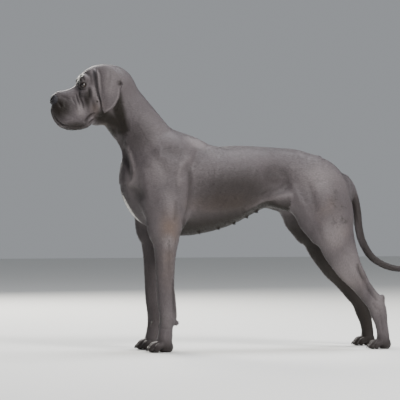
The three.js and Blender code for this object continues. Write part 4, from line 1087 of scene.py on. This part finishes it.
def nose_distance(points):
    """Distance to the nose leather: nostrils, a groove down its front and a plane behind it."""
    whole = smooth_cut(union_distance(NOSE, points), NOSTRILS, points, 3)
    front = smoothstep(-points[:, 0], 570, 582)
    groove = GROOVE_DEPTH * np.exp(-(points[:, 1] / GROOVE_HALF_WIDTH) ** 2) * front
    behind = (points[:, 0] + 557) + 0.12 * (960 - points[:, 2])
    return np.maximum(whole + groove, behind)


def make_nose():
    points, quads = surface_net(sample_volume(nose_distance, NOSE_LINES), NOSE_LINES)
    nose = make_object("nose_tip", settle(nose_distance, points, most=1.0), quads)
    give(nose, LEATHER)
    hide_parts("nose")


EYE_LOOK = (-0.42, 0.905, 0.05)
EYE_SEGMENTS, EYE_RINGS = 48, 32
CORNEA_BULGE, CORNEA_ANGLE = 0.06, 0.42
PUPIL_EDGE = (0.30, 0.36)
IRIS_EDGE = (0.82, 0.92)


def eye_mesh(side):
    """An eyeball that looks out and ahead: its points and quads, and each point's angle."""
    look = np.array(EYE_LOOK) * (1, side, 1)
    look /= np.linalg.norm(look)
    across = np.cross((0.0, 0.0, 1.0), look)
    across /= np.linalg.norm(across)
    upward = np.cross(look, across)
    centre = np.array(EYE_CENTRE) * (1, side, 1)
    points, angles = [], []
    for ring in range(EYE_RINGS + 1):
        angle = math.pi * ring / EYE_RINGS
        bulge = 1 + CORNEA_BULGE * math.exp(-(angle / CORNEA_ANGLE) ** 2)
        for s in range(EYE_SEGMENTS):
            turn = 2 * math.pi * s / EYE_SEGMENTS
            side_way = across * math.cos(turn) + upward * math.sin(turn)
            spot = look * math.cos(angle) + side_way * math.sin(angle)
            points.append(centre + spot * EYEBALL_RADIUS * bulge)
            angles.append(angle)
    quads = []
    for ring in range(EYE_RINGS):
        for s in range(EYE_SEGMENTS):
            a, b = ring * EYE_SEGMENTS + s, ring * EYE_SEGMENTS + (s + 1) % EYE_SEGMENTS
            quads.append((a, a + EYE_SEGMENTS, b + EYE_SEGMENTS, b))
    return points, quads, np.array(angles)


def make_eyes():
    for side, name in ((-1, "left"), (1, "right")):
        points, quads, angles = eye_mesh(side)
        eye = make_object(f"{name}_eyeball", points, quads)
        paint(eye, "pupil", 1 - smoothstep(angles, *PUPIL_EDGE))
        paint(eye, "iris", 1 - smoothstep(angles, *IRIS_EDGE))
        give(eye, EYE)
        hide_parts(f"{name}_eye")


# Claws: radius from root to tip, and paths of a toe's claw (reach ahead, height) and the dewclaw
CLAW_RADII = smooth_rows([(5.2,), (4.6,), (3.4,), (0.9,)], 5)[:, 0]
CLAW_SIDES = 16
CLAW_PATH = [(6, 20), (-4, 17.5), (-11, 12), (-15, 4.5)]
DEWCLAW_PATH = [(-168, 76, 112), (-174, 70, 106), (-179, 67, 99), (-181, 67, 90)]


def add_claw(points, faces, path, scale):
    """A claw as rings of points along a path, closed at both ends."""
    rows = smooth_rows(path, 5)
    start = len(points)
    for i, (row, radius) in enumerate(zip(rows, CLAW_RADII)):
        along = rows[min(i + 1, len(rows) - 1)] - rows[max(i - 1, 0)]
        along /= np.linalg.norm(along)
        across = np.array([0.0, 1.0, 0.0])
        upward = np.cross(along, across)
        for s in range(CLAW_SIDES):
            turn = 2 * math.pi * s / CLAW_SIDES
            offset = across * math.cos(turn) * 0.8 + upward * math.sin(turn)
            points.append(row + offset * radius * scale)
    for i in range(len(rows) - 1):
        ring = start + i * CLAW_SIDES
        for s in range(CLAW_SIDES):
            a, b = ring + s, ring + (s + 1) % CLAW_SIDES
            faces.append((a, b, b + CLAW_SIDES, a + CLAW_SIDES))
    last = start + (len(rows) - 1) * CLAW_SIDES
    faces.append(tuple(reversed(range(start, start + CLAW_SIDES))))
    faces.append(tuple(range(last, last + CLAW_SIDES)))


def make_claws():
    points, faces = [], []
    for side in (-1, 1):
        add_claw(points, faces, [(x, side * y, z) for x, y, z in DEWCLAW_PATH], 1.0)
        for foot, scale, lag in ((FORE_FOOT, 1.0, 0.0), (HIND_FOOT, HIND_FOOT_SCALE, RIGHT_HIND_LAG)):
            for offset, reach, _, _ in TOES:
                x = foot[0] - reach * scale + (lag if side > 0 else 0)
                y = side * (foot[1] + offset * scale)
                path = [(x + ahead * scale, y, height * scale) for ahead, height in CLAW_PATH]
                add_claw(points, faces, path, scale)
    claws = make_object("all_claws", points, faces)
    give(claws, HORN)
    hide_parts(*CLAW_NODES)


# Stage, camera and light
CAMERA_TURN = math.radians(15)
CAMERA_DISTANCE = 9.0
VIEW_WIDTH = 1.54
VIEW_MIDDLE = place((0, 0, 577.5))
SENSOR_WIDTH = 36
FLOOR_REACH = 14.0


def make_stage():
    corners = [(x * FLOOR_REACH, y * FLOOR_REACH, 0) for x, y in ((-1, -1), (1, -1), (1, 1), (-1, 1))]
    mesh = bpy.data.meshes.new("floor")
    mesh.from_pydata(corners, [], [(0, 1, 2, 3)])
    floor = add_object("floor", mesh)
    material, _, _ = node_tree("pale_floor", (0.70, 0.70, 0.68), 0.9)
    floor.data.materials.append(material)


def make_camera():
    data = bpy.data.cameras.new("camera")
    camera = add_object("camera", data)
    away = Vector((-math.sin(CAMERA_TURN), -math.cos(CAMERA_TURN), 0)) * CAMERA_DISTANCE
    camera.location = Vector(VIEW_MIDDLE) + away
    camera.rotation_euler = (math.pi / 2, 0, -CAMERA_TURN)
    data.sensor_width = SENSOR_WIDTH
    data.lens = SENSOR_WIDTH * CAMERA_DISTANCE / VIEW_WIDTH
    data.clip_end = 100
    bpy.context.scene.camera = camera


def add_light(name, spot, target, size, power, colour):
    """A round area light that faces its target."""
    data = bpy.data.lights.new(name, "AREA")
    data.shape = "DISK"
    data.size = size
    data.energy = power
    data.color = colour
    light = add_object(name, data)
    light.location = spot
    light.rotation_euler = (Vector(target) - Vector(spot)).to_track_quat("-Z", "Y").to_euler()


def make_light():
    world = bpy.data.worlds.new("studio")
    world.use_nodes = True
    background = world.node_tree.nodes["Background"]
    background.inputs["Color"].default_value = (0.86, 0.90, 0.95, 1)
    background.inputs["Strength"].default_value = 0.36
    bpy.context.scene.world = world
    middle = (0, 0, 0.6)
    add_light("key", (1.5, -3.8, 4.0), middle, 1.6, 360, (1.0, 0.98, 0.97))
    add_light("sky", (0.6, 0.8, 4.6), middle, 2.4, 230, (0.94, 0.96, 1.0))
    add_light("rim", (-0.8, 4.4, 2.7), middle, 2.2, 330, (1.0, 0.97, 0.90))


COAT, LEATHER, HORN, EYE = coat_material(), leather_material(), horn_material(), eye_material()
make_camera()
make_stage()
make_light()
make_all_tufts(make_skin())
make_nose()
make_eyes()
make_claws()

bpy.context.view_layer.update()
